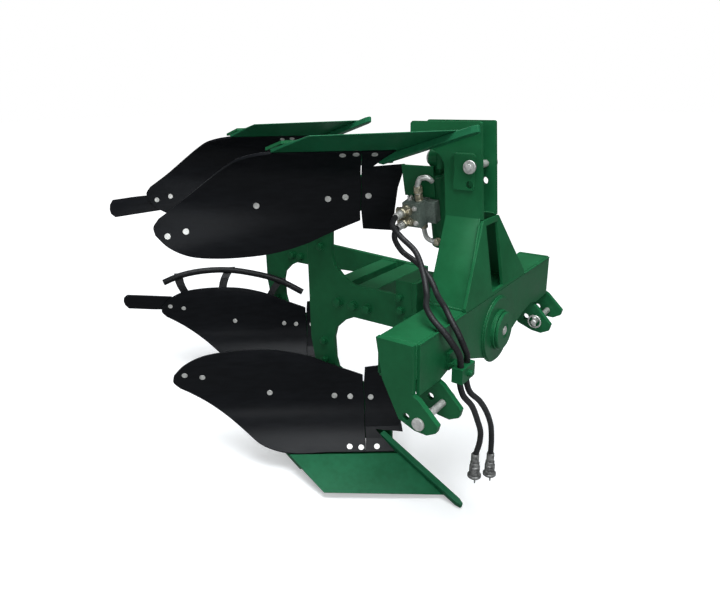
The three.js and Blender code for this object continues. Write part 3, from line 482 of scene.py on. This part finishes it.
# Lower link pins. Zinc-plated 16 mm pins with a washer head outside and a sprung linch pin inside each
# clevis. The linch pin's wire ring snaps over the end of the pin, and swings on the linch pin's head.
lower_pin_x, lower_pin_z = 61, -71
lower_pin_head_y, lower_linch_y = 400, 272
shank = [(-6, 0), (-6, 13), (-5.2, 14), (-0.6, 14), (0, 13.4), (0, 8), (137, 8), (139.3, 6), (139.3, 0)]
linch = [(-14, 0), (-14, 3.4), (-12.4, 5), (9, 5), (9.6, 6.8), (14.4, 7.2), (16, 5), (16, 0)]
for side, word in ((-1, "right"), (1, "left")):
    pin = piece("lower_link_pin_" + word + "_turned", [
        turned(shank, [lower_pin_x, side * lower_pin_head_y, lower_pin_z], (0, -side, 0)),
        turned(linch, [lower_pin_x, side * lower_linch_y, lower_pin_z], (0, 0, 1), 28),
    ], zinc, "headstock")
    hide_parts("lower_link_pin_" + word)


def wire_loop(middle, radius, wire):
    """A torus standing along the plough: middle + (reach cos a, wire sin b, reach sin a), with
    reach = radius + wire cos b."""
    a = np.linspace(0, 2 * np.pi, 64)[:, None]
    b = np.linspace(0, 2 * np.pi, 14, endpoint=False)[None]
    reach = radius + wire * np.cos(b)
    ring = np.stack([reach * np.cos(a), wire * np.sin(b) + 0 * a, reach * np.sin(a)], -1)
    return np.asarray(middle) + ring


ring_radius, wire_radius = 18, 2.4
top_pin_x, top_pin_z, top_linch_y = -14, 409, 62
ring_middles = {
    "right": [lower_pin_x, -lower_linch_y, lower_pin_z],
    "left": [lower_pin_x, lower_linch_y, lower_pin_z],
    "top": [top_pin_x, top_linch_y, top_pin_z],
}
for word, middle in ring_middles.items():
    loop = piece("linch_ring_" + word + "_wire", [wire_loop(middle, ring_radius, wire_radius)], zinc,
                 "linch_ring_" + word)
    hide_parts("linch_ring_" + word)

# Front plate and tower. Plates of 8 and 10 mm: the front one stands on the crossbar's face and leans back
# over it, the two tower plates are folded out at its height and carry a doubling pad and the hole of the
# top link.
for name in ("front_plate", "tower_plate_left", "tower_plate_right", "cylinder_bracket"):
    dressed(name, green, plate_rounding)
fold_low, fold_high = 98, 285
fold_rise = fold_high - fold_low
lean_x = lambda z: 45.3 - 29 * (z - fold_low) / fold_rise
fold_y = lambda z: 45 + 115 * (fold_high - z) / fold_rise
plate_foot = 53
ear_x, ear_y = -97, 34
pad_y, pad_low, pad_high, pad_rear, pad_front = 45.5, 356, 436, -56, -6
beads = []
for side in (-1, 1):
    beads.append(weld([lean_x(120) + 1, side * (fold_y(120) + 11), 120],
                      [lean_x(276) + 1, side * (fold_y(276) + 6), 276], radius=3.5))
    y = side * (fold_y(fold_low) + 8)
    beads.append(weld([-50, y, fold_low + 1], [42, y, fold_low + 1], radius=4.5))
    foot_line = [[plate_foot, side * y, z] for y, z in ((182, 100), (300, 99), (384, 99))]
    beads.append(weld(*foot_line, radius=2.2))
    beads.append(weld([ear_x, side * ear_y, 436], [ear_x, side * ear_y, 488], radius=3))
    y = side * pad_y
    beads.append(weld([pad_front, y, pad_low], [pad_front, y, pad_high], radius=2.6))
    beads.append(weld([pad_rear, y, pad_low], [pad_rear, y, pad_high], radius=2.6))
    beads.append(weld([pad_rear + 2, y, pad_high + 2], [pad_front - 2, y, pad_high + 2], radius=2.6))
piece("tower_welds", beads, green, "headstock")
shank = [(-6, 0), (-6, 15), (-5, 16), (-0.6, 16), (0, 15.4), (0, 9), (122, 9), (124, 7.2), (124, 0)]
linch = [(-14, 0), (-14, 3.4), (-12.4, 5), (10, 5), (10.6, 6.8), (14.4, 7.2), (16, 5), (16, 0)]
top_pin = piece("top_link_pin_turned", [
    turned(shank, [top_pin_x, -51, top_pin_z], (0, 1, 0)),
    turned(linch, [top_pin_x, top_linch_y, top_pin_z], (0, 0, 1), 28),
    hex_head([top_pin_x, -57, top_pin_z], (0, -1, 0), 15, 5, washer=1.0, washer_thick=0.6),
], zinc, "headstock")
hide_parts("top_link_pin")

# Turnover bearing. A turned tube of 120 mm is welded through the crossbar and the front plate, behind a
# collar. The shaft inside it is closed in front by a cap with a bolt in its middle.
housing_profile = [
    (-98, 30.4), (-98, 58), (-96, 60), (53.3, 60), (53.5, 82), (55, 84), (58.5, 84), (60.3, 82),
    (60.3, 52.6), (61, 52), (68.5, 52), (70, 50.5), (70, 30.4), (-98, 30.4),
]
shaft_profile = [
    (-200, 0), (-200, 29), (-199, 30), (70.2, 30), (70.3, 46.5), (71.5, 48), (76, 48), (78.3, 45.5),
    (78.3, 20), (76.4, 18), (76.4, 0),
]
forward = (1, 0, 0)
housing = piece("turnover_housing_turned", [turned(housing_profile, [0, 0, 0], forward, 96)], green,
                "headstock")
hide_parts("turnover_housing")
ring = np.linspace(0, 2 * np.pi, 160)
collar_rear, bead_reach, bead_radius = 54, 84.5, 3.2
bead = np.stack([collar_rear + 0 * ring, bead_reach * np.cos(ring), bead_reach * np.sin(ring)], 1)
swell = bead_radius * (0.92 + 0.1 * np.sin(40 * ring))
piece("bearing_weld", [swept(bead, swell, 10, (1, 0.01, 0.01))], green, "headstock")
shaft = piece("turnover_shaft_turned", [turned(shaft_profile, [0, 0, 0], forward, 96)], green,
              "turning_frame")
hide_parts("turnover_shaft")
cap_face = [76.2, 0, 0]
piece("shaft_cap_bolt", [hex_head(cap_face, forward, 17, 2.4, washer_thick=0.8)], zinc, "turning_frame")

# Turnover cylinder. A double-acting hydraulic cylinder with a green painted barrel, hung on a pin between
# the tower's ears and leaning 13 degrees at rest. Its chromed rod ends in an eye on the pin of the crank
# flange.
hang_x, hang_z, crank_radius = -130, 421, 100
lean = np.arctan2(crank_radius, hang_z)
pin_distance = np.hypot(crank_radius, hang_z)


def leaned(points):
    """Points of the cylinder as if it hung straight down, turned about the upper pin:
    y' = y cos - z sin, z' = y sin + z cos."""
    x, y, z = np.moveaxis(np.asarray(points, float), -1, 0)
    return np.stack([x + hang_x, y * np.cos(lean) - z * np.sin(lean),
                     hang_z + y * np.sin(lean) + z * np.cos(lean)], -1)


def leaned_way(direction):
    """A direction of the hanging cylinder, turned as its points are."""
    return leaned(direction) - leaned([0, 0, 0])


eye_drop = 14
barrel_radius, seam_drop, seam_radius = 30.6, 44, 2.4
eye = [(-13, 12.4), (-13, 22.5), (-11.5, 24), (11.5, 24), (13, 22.5), (13, 12.4), (-13, 12.4)]
tube = [
    (38, 0), (38, 28), (40, 30), (224, 30), (224.5, 31), (226, 33), (238.5, 33), (240, 31.5), (240, 22),
    (238.5, 20.5), (238.5, 12.5), (200, 12.5), (200, 0),
]
seam = np.stack([barrel_radius * np.cos(ring), barrel_radius * np.sin(ring), -seam_drop + 0 * ring], 1)
barrel = piece("cylinder_barrel_turned", [
    leaned(turned(eye, [0, 0, 0], forward, 64)),
    leaned(slab([0, 0, -eye_drop], [0, 0, -43], (0, 1, 0), 24, 26, 0.3)),
    leaned(turned(tube, [0, 0, 0], down, 96)),
    leaned(swept(seam, seam_radius, 10, (0.01, 0.01, 1))),
], green, "cylinder")
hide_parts("cylinder_barrel")
chrome = Finish("chromed_rod", Metallic=1.0)
polish = chrome.place.noise(600, 2)
chrome.feed("Base Color", polish.tint((0.62, 0.63, 0.65), (0.74, 0.75, 0.77)))
chrome.feed("Roughness", polish * 0.08 + 0.08)
rod_end = pin_distance - 22
piston_and_rod = [(166, 0), (166, 24.7), (184, 24.7), (184, 12), (rod_end, 12), (rod_end, 0)]
rod = piece("cylinder_rod_turned", [
    leaned(turned(piston_and_rod, [0, 0, 0], down, 64)),
    leaned(turned(eye, [0, 0, -pin_distance], forward, 64)),
], chrome, "rod")
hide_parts("cylinder_rod")
upper_pin_rear, upper_pin_front = -143.3, -97
head = [(0, 0), (0, 16.5), (1.5, 18), (5.5, 18), (7, 16.5), (7, 0)]
upper_pin = piece("cylinder_pin_turned", [
    turned([(upper_pin_rear, 0), (upper_pin_rear, 12), (upper_pin_front, 12), (upper_pin_front, 0)],
           [0, 0, hang_z], forward),
    turned(head, [upper_pin_front - 1, 0, hang_z], forward),
    turned(head, [upper_pin_rear, 0, hang_z], (-1, 0, 0)),
    hex_head([-91.2, 0, hang_z], forward, 19, 7, washer_thick=1.5),
], zinc, "headstock")
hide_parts("cylinder_pin")
crank_pin_rear, crank_pin_front = -146.2, -116
crank_head = [(0, 0), (0, 16.5), (1.5, 18), (5.2, 18), (6.7, 16.5), (6.7, 0)]
lower_pin = piece("crank_pin_turned", [
    turned([(crank_pin_rear, 0), (crank_pin_rear, 12), (crank_pin_front, 12), (crank_pin_front, 0)],
           [0, crank_radius, 0], forward),
    turned(crank_head, [-116.7, crank_radius, 0], forward),
], zinc, "rod")
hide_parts("crank_pin")

# Turnover valve. A block of cast light alloy on the barrel, which sends the oil to either end by itself.
# Two yellow passivated banjos take the hoses, and bent steel pipes with union nuts lead on to the ports of
# the barrel. A green plate welded to the barrel stands above the block.
cast = Finish("cast_valve", Metallic=0.25)
grain = cast.place.noise(220, 4)
cast.feed("Base Color", (grain * 0.5 + cast.place.noise(25) * 0.5).between(0.35, 0.65).tint(
    (0.07, 0.095, 0.08), (0.17, 0.21, 0.18)))
cast.feed("Roughness", grain * 0.3 + 0.4)
cast.bump(grain, 0.0006, 0.6)
passivated = Finish("passivated_fitting", Metallic=0.85)
stain = passivated.place.noise(120, 3)
passivated.feed("Base Color", stain.between(0.3, 0.7).tint((0.34, 0.30, 0.21), (0.60, 0.55, 0.42)))
passivated.feed("Roughness", stain * 0.25 + 0.25)
dressed("turnover_valve", cast, 2.0)
outward, upward = leaned_way([0, -1, 0]), leaned_way([0, 0, 1])
screws = [hex_head(leaned([-30, -82.2, z]), outward, 10, 5, washer_thick=1) for z in (-108, -148)]
screws.append(hex_head(leaned([-56, -56, -94.8]), upward, 13, 8, washer_thick=1.2))
piece("valve_side_screws", screws, zinc, "cylinder")
banjo_profile = [
    (80, 11.6), (80, 13.4), (84, 13.4), (86, 12.4), (100, 12.4), (102, 13.2), (106, 13.2), (108, 12),
    (110, 10), (110.2, 0), (80, 0), (80, 11.6),
]
banjos = []
for z in (-113, -143):
    banjos.append(leaned(turned(banjo_profile, [-55, 0, z], (0, -1, 0))))
    banjos.append(hex_head(leaned([-66.2, -92, z]), (-1, 0, 0), 17, 8, washer=1.15, washer_thick=2))
    banjos.append(hex_head(leaned([-43.5, -92, z]), (1, 0, 0), 17, 6, washer=1.15, washer_thick=2))
piece("banjo_fittings", banjos, passivated, "cylinder")
bracket = slab([-84, -33, -53], [6, -33, -53], (0, 0, 1), 83, 6, 0.2)
piece("valve_bracket", [leaned(bracket)], green, "cylinder")
upper_pipe = smooth_route(leaned([
    [-30, -56, -90], [-30, -56, -56], [-24, -52, -40], [-10, -46, -37], [-2, -41, -42], [0, -34, -50],
]), 60)
lower_pipe = smooth_route(leaned([
    [-30, -46, -158], [-30, -46, -186], [-24, -46, -206], [-8, -42, -216], [0, -36, -218], [0, -28, -218],
]), 60)
piece("valve_pipes", [swept(upper_pipe, 7, 16), swept(lower_pipe, 6.5, 16)], zinc, "cylinder")
union_nuts = (  # place, direction and width across the flats
    ([-30, -56, -95], (0, 0, 1), 19), ([-30, -46, -161], (0, 0, -1), 19),
    ([-30, -56, -74], (0, 0, 1), 21), ([0, -30.5, -218], (0, -1, 0), 17),
)
nuts = [hex_head(leaned(place), leaned_way(direction), flats, 13, washer=1.1, washer_thick=3)
        for place, direction, flats in union_nuts]
piece("union_nuts", nuts, passivated, "cylinder")

# Turning frame. A hub block is welded behind the crank flange and keyed to the shaft. Two 14 mm plates,
# each with a C-shaped double leg, are bolted to it and to two beams across, so that the width of cut can
# be set.
frame_roundings = {
    "crank_flange": 2, "frame_hub": 3, "beam_plate_right": 1.8, "beam_plate_left": 1.8,
    "cross_beam_front": 2.5, "cross_beam_rear": 2.5,
}
for name, rounding in frame_roundings.items():
    dressed(name, green, rounding)
hub_rear, hub_half, hub_side, flange_rear = -212.5, 48, -60, -160
right_outside, right_inside, left_inside, left_outside = -40, -26, 307, 321
beam_sides = (-405.5, -334.5, -502.5, -441.5)
beam_spans = ((-404, -336), (-501, -443))
beam_half, beam_top = 25, 27
weld_lines = (right_inside + 1.5, left_inside - 1.5)
beads = []
for y in (right_outside + 1, right_inside - 1):
    beads.append(weld([hub_rear, y, -hub_half], [hub_rear, y, hub_half], radius=3.5))
for x in beam_sides:
    for y in weld_lines:
        beads.append(weld([x, y, -beam_half], [x, y, beam_half], radius=3.2))
for z in (-beam_top, beam_top):
    for rear, front in beam_spans:
        for y in weld_lines:
            beads.append(weld([rear, y, z], [front, y, z], radius=3.2))
x, y = flange_rear - 0.5, hub_side + 1
beads.append(weld([x, y, -71], [x, y, 99], radius=2.5))
piece("frame_welds", beads, green, "turning_frame")
rightward, leftward = (0, -1, 0), (0, 1, 0)
body_step = (-534, 347)  # from a front body to the rear one, along the plough and to the left
plate_bolts = (  # the plate's right and left face, and the bolts' height and places along it
    (right_outside, right_inside, -12, (-425, -370, -320)), (left_inside, left_outside, -22, (-925, -883)),
)
hub_bolts = ((-200, 52), (-196, 16), (-176, -10))
leg_bolts = ((-486, 150), (-486, 215), (-452, 285), (-486, -150), (-486, -215), (-452, -285))
bolts = []
for right_face, left_face, z, places in plate_bolts:
    for x in places:
        bolts.append(hex_head([x, right_face, z], rightward, 24, 12, washer=1.3, washer_thick=3))
        bolts.append(hex_head([x, left_face, z], leftward, 24, 14, washer=1.3, washer_thick=3, shank=5,
                              shank_radius=7.6))
for x, z in hub_bolts:
    bolts.append(hex_head([x, hub_side, z], rightward, 19, 9, washer=1.3, washer_thick=2.5))
for x, z in leg_bolts:
    for step_x, step_y in ((0, 0), body_step):
        bolts.append(hex_head([x + step_x, right_outside + step_y, z], rightward, 19, 10, washer=1.3,
                              washer_thick=2.5))
piece("frame_bolts", bolts, green, "turning_frame")

# Mouldboards. Pressed plates of 8 mm hardened steel, painted satin black: they lift, turn and throw the
# furrow slice. The shin in front of each is a separate wearing plate of the same surface, notched for the
# bar of the share point.
mould_thickness = 8
mould_black = Finish("mouldboard_paint", Specular_IOR_Level=0.11)
streak = mould_black.place.node("Mapping", {"Vector": mould_black.place, "Scale": (6, 6, 30)}).noise(3, 4)
fine = mould_black.place.noise(240, 3)
mould_black.feed("Base Color", streak.between(0.35, 0.65).tint(
    (0.0028, 0.0032, 0.0042), (0.0048, 0.0054, 0.0068)))
mould_black.feed("Roughness", streak * 0.12 + fine * 0.06 + 0.28)
mould_black.bump(fine, 0.0002, 0.5)
mould_shares = (0.7686, 1.2653, -0.0836, -4.9663, 16.0435, -18.7054, -3.3871, 4.8324)


def mould_depth(x, z):
    """Sideways place of the mouldboard in mm: a polynomial in x and height z, both in metres, with the
    terms 1, x, x x, z, z z, z z z, x z and x z z."""
    x, z = np.asarray(x) / 1000, np.asarray(z) / 1000
    terms = (1 + 0 * x, x, x * x, z, z * z, z**3, x * z, x * z * z)
    return 1000 * sum(share * term for share, term in zip(mould_shares, terms))


def edge(table, count):
    """Points a constant length apart along a smooth edge through a few (x, height) points."""
    table = np.column_stack([np.asarray(table, float), np.zeros(len(table))])
    return even_steps(smooth_route(table, 400), count)[:, :2]


def mould_patch(top, bottom, front, rear, columns, rows):
    """Coons patch in (x, height) between four edges: the blend of top and bottom plus the blend of the
    front and rear edges, less the blend of the corners. The sideways place comes from mould_depth."""
    top, bottom = edge(top, columns), edge(bottom, columns)
    front, rear = edge(front, rows), edge(rear, rows)
    u, v = np.linspace(0, 1, columns)[None, :, None], np.linspace(0, 1, rows)[:, None, None]
    long_blend = (1 - v) * top[None] + v * bottom[None]
    short_blend = (1 - u) * front[:, None] + u * rear[:, None]
    corner_blend = ((1 - u) * (1 - v) * top[0] + u * (1 - v) * top[-1]
                    + (1 - u) * v * bottom[0] + u * v * bottom[-1])
    flat = long_blend + short_blend - corner_blend
    return np.stack([flat[..., 0], mould_depth(flat[..., 0], flat[..., 1]), -flat[..., 1]], -1)


plate_crease = 40


def sheet(name, grid, thickness, finish, rounding=1.2):
    """A plate as one closed shell: the grid is its face, and its back lies the thickness behind the face,
    against the cross product of the grid's steps. The rim joins the two, and its edges are rounded."""
    normal = np.cross(np.gradient(grid, axis=1), np.gradient(grid, axis=0))
    normal /= np.linalg.norm(normal, axis=2, keepdims=True)
    depth = np.broadcast_to(np.asarray(thickness, float), grid.shape[:2])[..., None]
    behind = grid - normal * depth
    rows, columns = grid.shape[:2]
    number = np.arange(rows * columns).reshape(rows, columns)
    quads = np.stack([number[:-1, :-1], number[:-1, 1:], number[1:, 1:], number[1:, :-1]], -1)
    quads = quads.reshape(-1, 4)
    rim = np.concatenate([number[0, :-1], number[:-1, -1], number[-1, :0:-1], number[:0:-1, 0]])
    after = np.roll(rim, -1)
    walls = np.stack([rim, after, after + rows * columns, rim + rows * columns], 1)
    mesh = bpy.data.meshes.new(name)
    mesh.from_pydata(in_place(np.concatenate([grid.reshape(-1, 3), behind.reshape(-1, 3)])), [],
                     np.concatenate([quads, quads + rows * columns, walls]).tolist())
    made = finished(mesh, finish, "turning_frame", plate_crease)
    bevel = made.modifiers.new("rounded_edges", "BEVEL")
    bevel.width, bevel.segments, bevel.limit_method = rounding / 1000, 2, "ANGLE"
    bevel.angle_limit, bevel.harden_normals = np.radians(plate_crease), True
    return made


bodies = {
    "front_lower": (0, 0, 1), "front_upper": (0, 0, -1),
    "rear_lower": (*body_step, 1), "rear_upper": (*body_step, -1),
}


def for_body(points, where):
    """The lower front body's points, turned upside down for an upper body and moved back and left for a
    rear one."""
    shift_x, shift_y, flip = bodies[where]
    return np.asarray(points) * (1, 1, flip) + (shift_x, shift_y, 0)


mould_top = [
    (-351.6, 240), (-418, 207), (-478, 174), (-548, 150), (-600, 143), (-660, 143), (-710, 153),
    (-750, 179), (-782, 215),
]
mould_bottom = [
    (-285.6, 437.5), (-370, 436.5), (-463, 436), (-545, 420), (-600, 396), (-655, 364), (-705, 328),
    (-750, 289), (-781, 260),
]
mould_front = [(-351.6, 240), (-348.6, 285), (-332.6, 361), (-315.6, 397), (-285.6, 437.5)]
mould_rear = [(-782, 215), (-789, 238), (-781, 260)]
stay_bolt = (-575, 288)
mould_bolts = [
    (-757, 212), (-721, 223), stay_bolt, (-418, 303), (-379, 307), (-328, 310), (-331, 428), (-302, 430),
    (-265, 429),
]
board = mould_patch(mould_top, mould_bottom, mould_front, mould_rear, columns=84, rows=40)


def on_mould(x, height):
    """A point on the mouldboard's face, and the direction square to it on the side of the soil."""
    spot = lambda a, b: np.array([a, mould_depth(a, b), -b])
    lengthwise = spot(x + 1, height) - spot(x - 1, height)
    square = np.cross(lengthwise, spot(x, height + 1) - spot(x, height - 1))
    return spot(x, height), square / np.linalg.norm(square) * -np.sign(square[1])


flat_head = [(-1.5, 0), (-1.5, 8.6), (0.5, 8.6), (1.1, 8.0), (1.1, 4.2), (0.7, 3.9), (0.7, 0)]
nut = lambda place, axis: hex_head(place, axis, 17, 9, washer=1.25, washer_thick=2, shank=4, shank_radius=5)
for where in bodies:
    flip = bodies[where][2]
    plate = sheet("mouldboard_" + where + "_plate", for_body(board, where), mould_thickness * flip,
                  mould_black)
    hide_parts("mouldboard_" + where)
    dressed("shin_" + where, mould_black, 1.0)
    heads = []
    for x, height in mould_bolts:
        spot, square = on_mould(x, height)
        turned_square = square * (1, 1, flip)
        heads.append(turned(flat_head, for_body(spot, where), turned_square, 28))
        heads.append(nut(for_body(spot - mould_thickness * square, where), -turned_square))
    piece("mouldboard_bolts_" + where, heads, zinc, "turning_frame")

# Mouldboard stays. A flat bar of 36 by 10 mm from each leg, bent at its end, holds the middle of the
# mouldboard against the soil.
stay_wide, stay_thick = 36, 10
stay_foot, stay_offset, stay_lap = np.array([-508, -46, -252]), (30, 30, 8), (6, 6, 2)
bend_behind, tip_behind = 22, 13  # mm behind the mouldboard's face
for where in bodies:
    spot, square = on_mould(*stay_bolt)
    bend = spot - bend_behind * square + stay_offset
    runs = ((stay_foot, bend), (bend + stay_lap, spot - tip_behind * square))
    bars = [slab(for_body(start, where), for_body(end, where), (0, 0, 1), stay_wide, stay_thick)
            for start, end in runs]
    piece("mouldboard_stay_" + where, bars, green, "turning_frame")

# Shares and share points. The share is a rolled blade, 10 mm at its seam and 2.5 mm at the edge that cuts
# the soil. The point is a square bar over its nose, which can be slid forward as it wears. Both are
# painted green when new.
share_thickness, share_edge = 10, 2.5
share_green = Finish("share_paint", Specular_IOR_Level=0.16)
shade = share_green.place.noise(8, 4)
shade_mix = (shade * 0.6 + share_green.place.noise(60, 4) * 0.4).between(0.38, 0.62)
share_green.feed("Base Color", shade_mix.tint((0.0075, 0.090, 0.036), (0.011, 0.122, 0.052)))
share_green.feed("Roughness", shade.between(0.3, 0.7) * 0.15 + 0.3)
share_green.bump(share_green.place.noise(300, 2) + share_green.place.noise(30, 3), 0.0004, 0.5)
seam = np.array([(-200, -52.2, -441.1), (-465, -246.5, -439.5)], float)
cutting_edge = np.array([(-24, -78, -492.7), (-309, -277, -485)], float)
blade_columns, blade_rows = 24, 10
u = np.linspace(0, 1, blade_columns)[None, :, None]
v = np.linspace(0, 1, blade_rows)[:, None, None]
blade = ((1 - v) * ((1 - u) * seam[0] + u * seam[1])
         + v * ((1 - u) * cutting_edge[0] + u * cutting_edge[1]))
taper = share_thickness - (share_thickness - share_edge) * v[..., 0]
for where in bodies:
    edge_plate = sheet("share_" + where + "_blade", for_body(blade, where), bodies[where][2] * taper,
                       share_green, 0.9)
    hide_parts("share_" + where)
    dressed("share_point_" + where, share_green, 2.2)

# Frogs and landsides. The frog is the welded seat that carries the mouldboard, shin and share on the
# leg. The landside is a flat bar on it that runs along the furrow wall and takes the side thrust.
landside_face, landside_middle = 5.9, -430
for where in bodies:
    dressed("frog_" + where, green, 1.2)
    dressed("landside_" + where, green, 1.5)
    heads = []
    for x in (-300, -400, -480):
        place = for_body([x, landside_face, landside_middle], where)
        heads.append(turned(flat_head, place, (0, 1, 0), 28))
    piece("landside_bolts_" + where, heads, zinc, "turning_frame")

# Tail strips. Black steel strips bolted behind the ends of the rear mouldboards, which press the turned
# slice down into the furrow.
for name in ("tail_strip_lower", "tail_strip_upper"):
    dressed(name, mould_black, 1.2)

# Guard rail. A black round bar bent over the lower rear mouldboard, on three flat posts that stand on
# the mouldboard's back.
black = Finish("black_paint", Specular_IOR_Level=0.2)
dull = black.place.noise(14, 4)
black.feed("Base Color", dull.between(0.35, 0.65).tint((0.0035, 0.0038, 0.0044), (0.006, 0.0065, 0.0072)))
black.feed("Roughness", dull * 0.2 + 0.32)
black.bump(black.place.noise(300), 0.00025, 0.5)
dressed("guard_rail", black, 1.0)

# Studio. A pale floor under the share points and a white surround, with large soft lamps. The floor
# shines a little by itself, more so far from the plough, and only in the picture.
floor_level, floor_half = -508.3, 30
floor_paint = Finish("studio_floor", Roughness=0.9)
away = floor_paint.place.node("VectorMath", {0: floor_paint.place}, out=1, operation="LENGTH")
path = floor_paint.tree.nodes.new("ShaderNodeLightPath")
seen = Link(floor_paint.tree, path.outputs["Is Camera Ray"])
floor_paint.feed("Base Color", (floor_paint.place.noise(0.5) * 0.03 + seen * 0.97).tint(
    (0.3, 0.3, 0.3), (0.86, 0.86, 0.86)))
shine = seen * (away.between(1.2, 4.5) * 0.68 + 0.32)
floor_paint.feed("Emission Color", shine.tint((0, 0, 0), (1, 1, 1)))
floor_paint.shader.inputs["Emission Strength"].default_value = 1
low = float(in_place([0, 0, floor_level])[2])
corners = ((-1, -1), (1, -1), (1, 1), (-1, 1))
floor_mesh = bpy.data.meshes.new("studio_floor")
floor_mesh.from_pydata([(x * floor_half, y * floor_half, low) for x, y in corners], [], [(0, 1, 2, 3)])
floor_mesh.materials.append(floor_paint.material)
floor = bpy.data.objects.new("studio_floor", floor_mesh)
bpy.context.collection.objects.link(floor)
surround_seen, surround_light = 1.0, 0.1
world = bpy.data.worlds.new("studio")
world.use_nodes = True
bpy.context.scene.world = world
surround = world.node_tree.nodes["Background"]
rays = world.node_tree.nodes.new("ShaderNodeLightPath")
seen = Link(world.node_tree, rays.outputs["Is Camera Ray"])
strength = seen * (surround_seen - surround_light) + surround_light
world.node_tree.links.new(strength.socket, surround.inputs["Strength"])
surround.inputs["Color"].default_value = (1, 1, 1, 1)
lamp_colour = (0.93, 0.97, 1.0)


def lamp(name, place, target, size, watts):
    """A square soft lamp: its -Z axis runs from place to target, in metres from the turnover axis."""
    light = bpy.data.lights.new(name, "AREA")
    light.size, light.energy, light.color = size, watts, lamp_colour
    made = bpy.data.objects.new(name, light)
    z = np.asarray(place, float) - np.asarray(target, float)
    z /= np.linalg.norm(z)
    x = np.cross((0.01, 0.02, 1), z)
    x /= np.linalg.norm(x)
    matrix = np.eye(4)
    matrix[:3, :3] = np.stack([x, np.cross(z, x), z], 1)
    matrix[:3, 3] = in_place(np.asarray(place, float) * 1000)
    made.matrix_world = Matrix(matrix.tolist())
    bpy.context.collection.objects.link(made)


lamp("lamp_overhead", (0.3, -0.6, 3.0), (-0.2, 0, 0), 2.2, 165)
lamp("lamp_front", (3.4, -1.6, 1.5), (0, 0, 0), 1.8, 60)
lamp("lamp_side", (-2.2, -3.2, 1.4), (-0.3, 0, 0), 1.8, 14)
lamp("lamp_back", (-3.2, 1.2, 2.6), (-0.3, 0, 0), 2.0, 45)
lamp("lamp_low", (0.8, -2.75, 0.75), (-0.7, -0.2, 0.2), 0.8, 16)
bpy.context.scene.view_settings.view_transform = "Standard"
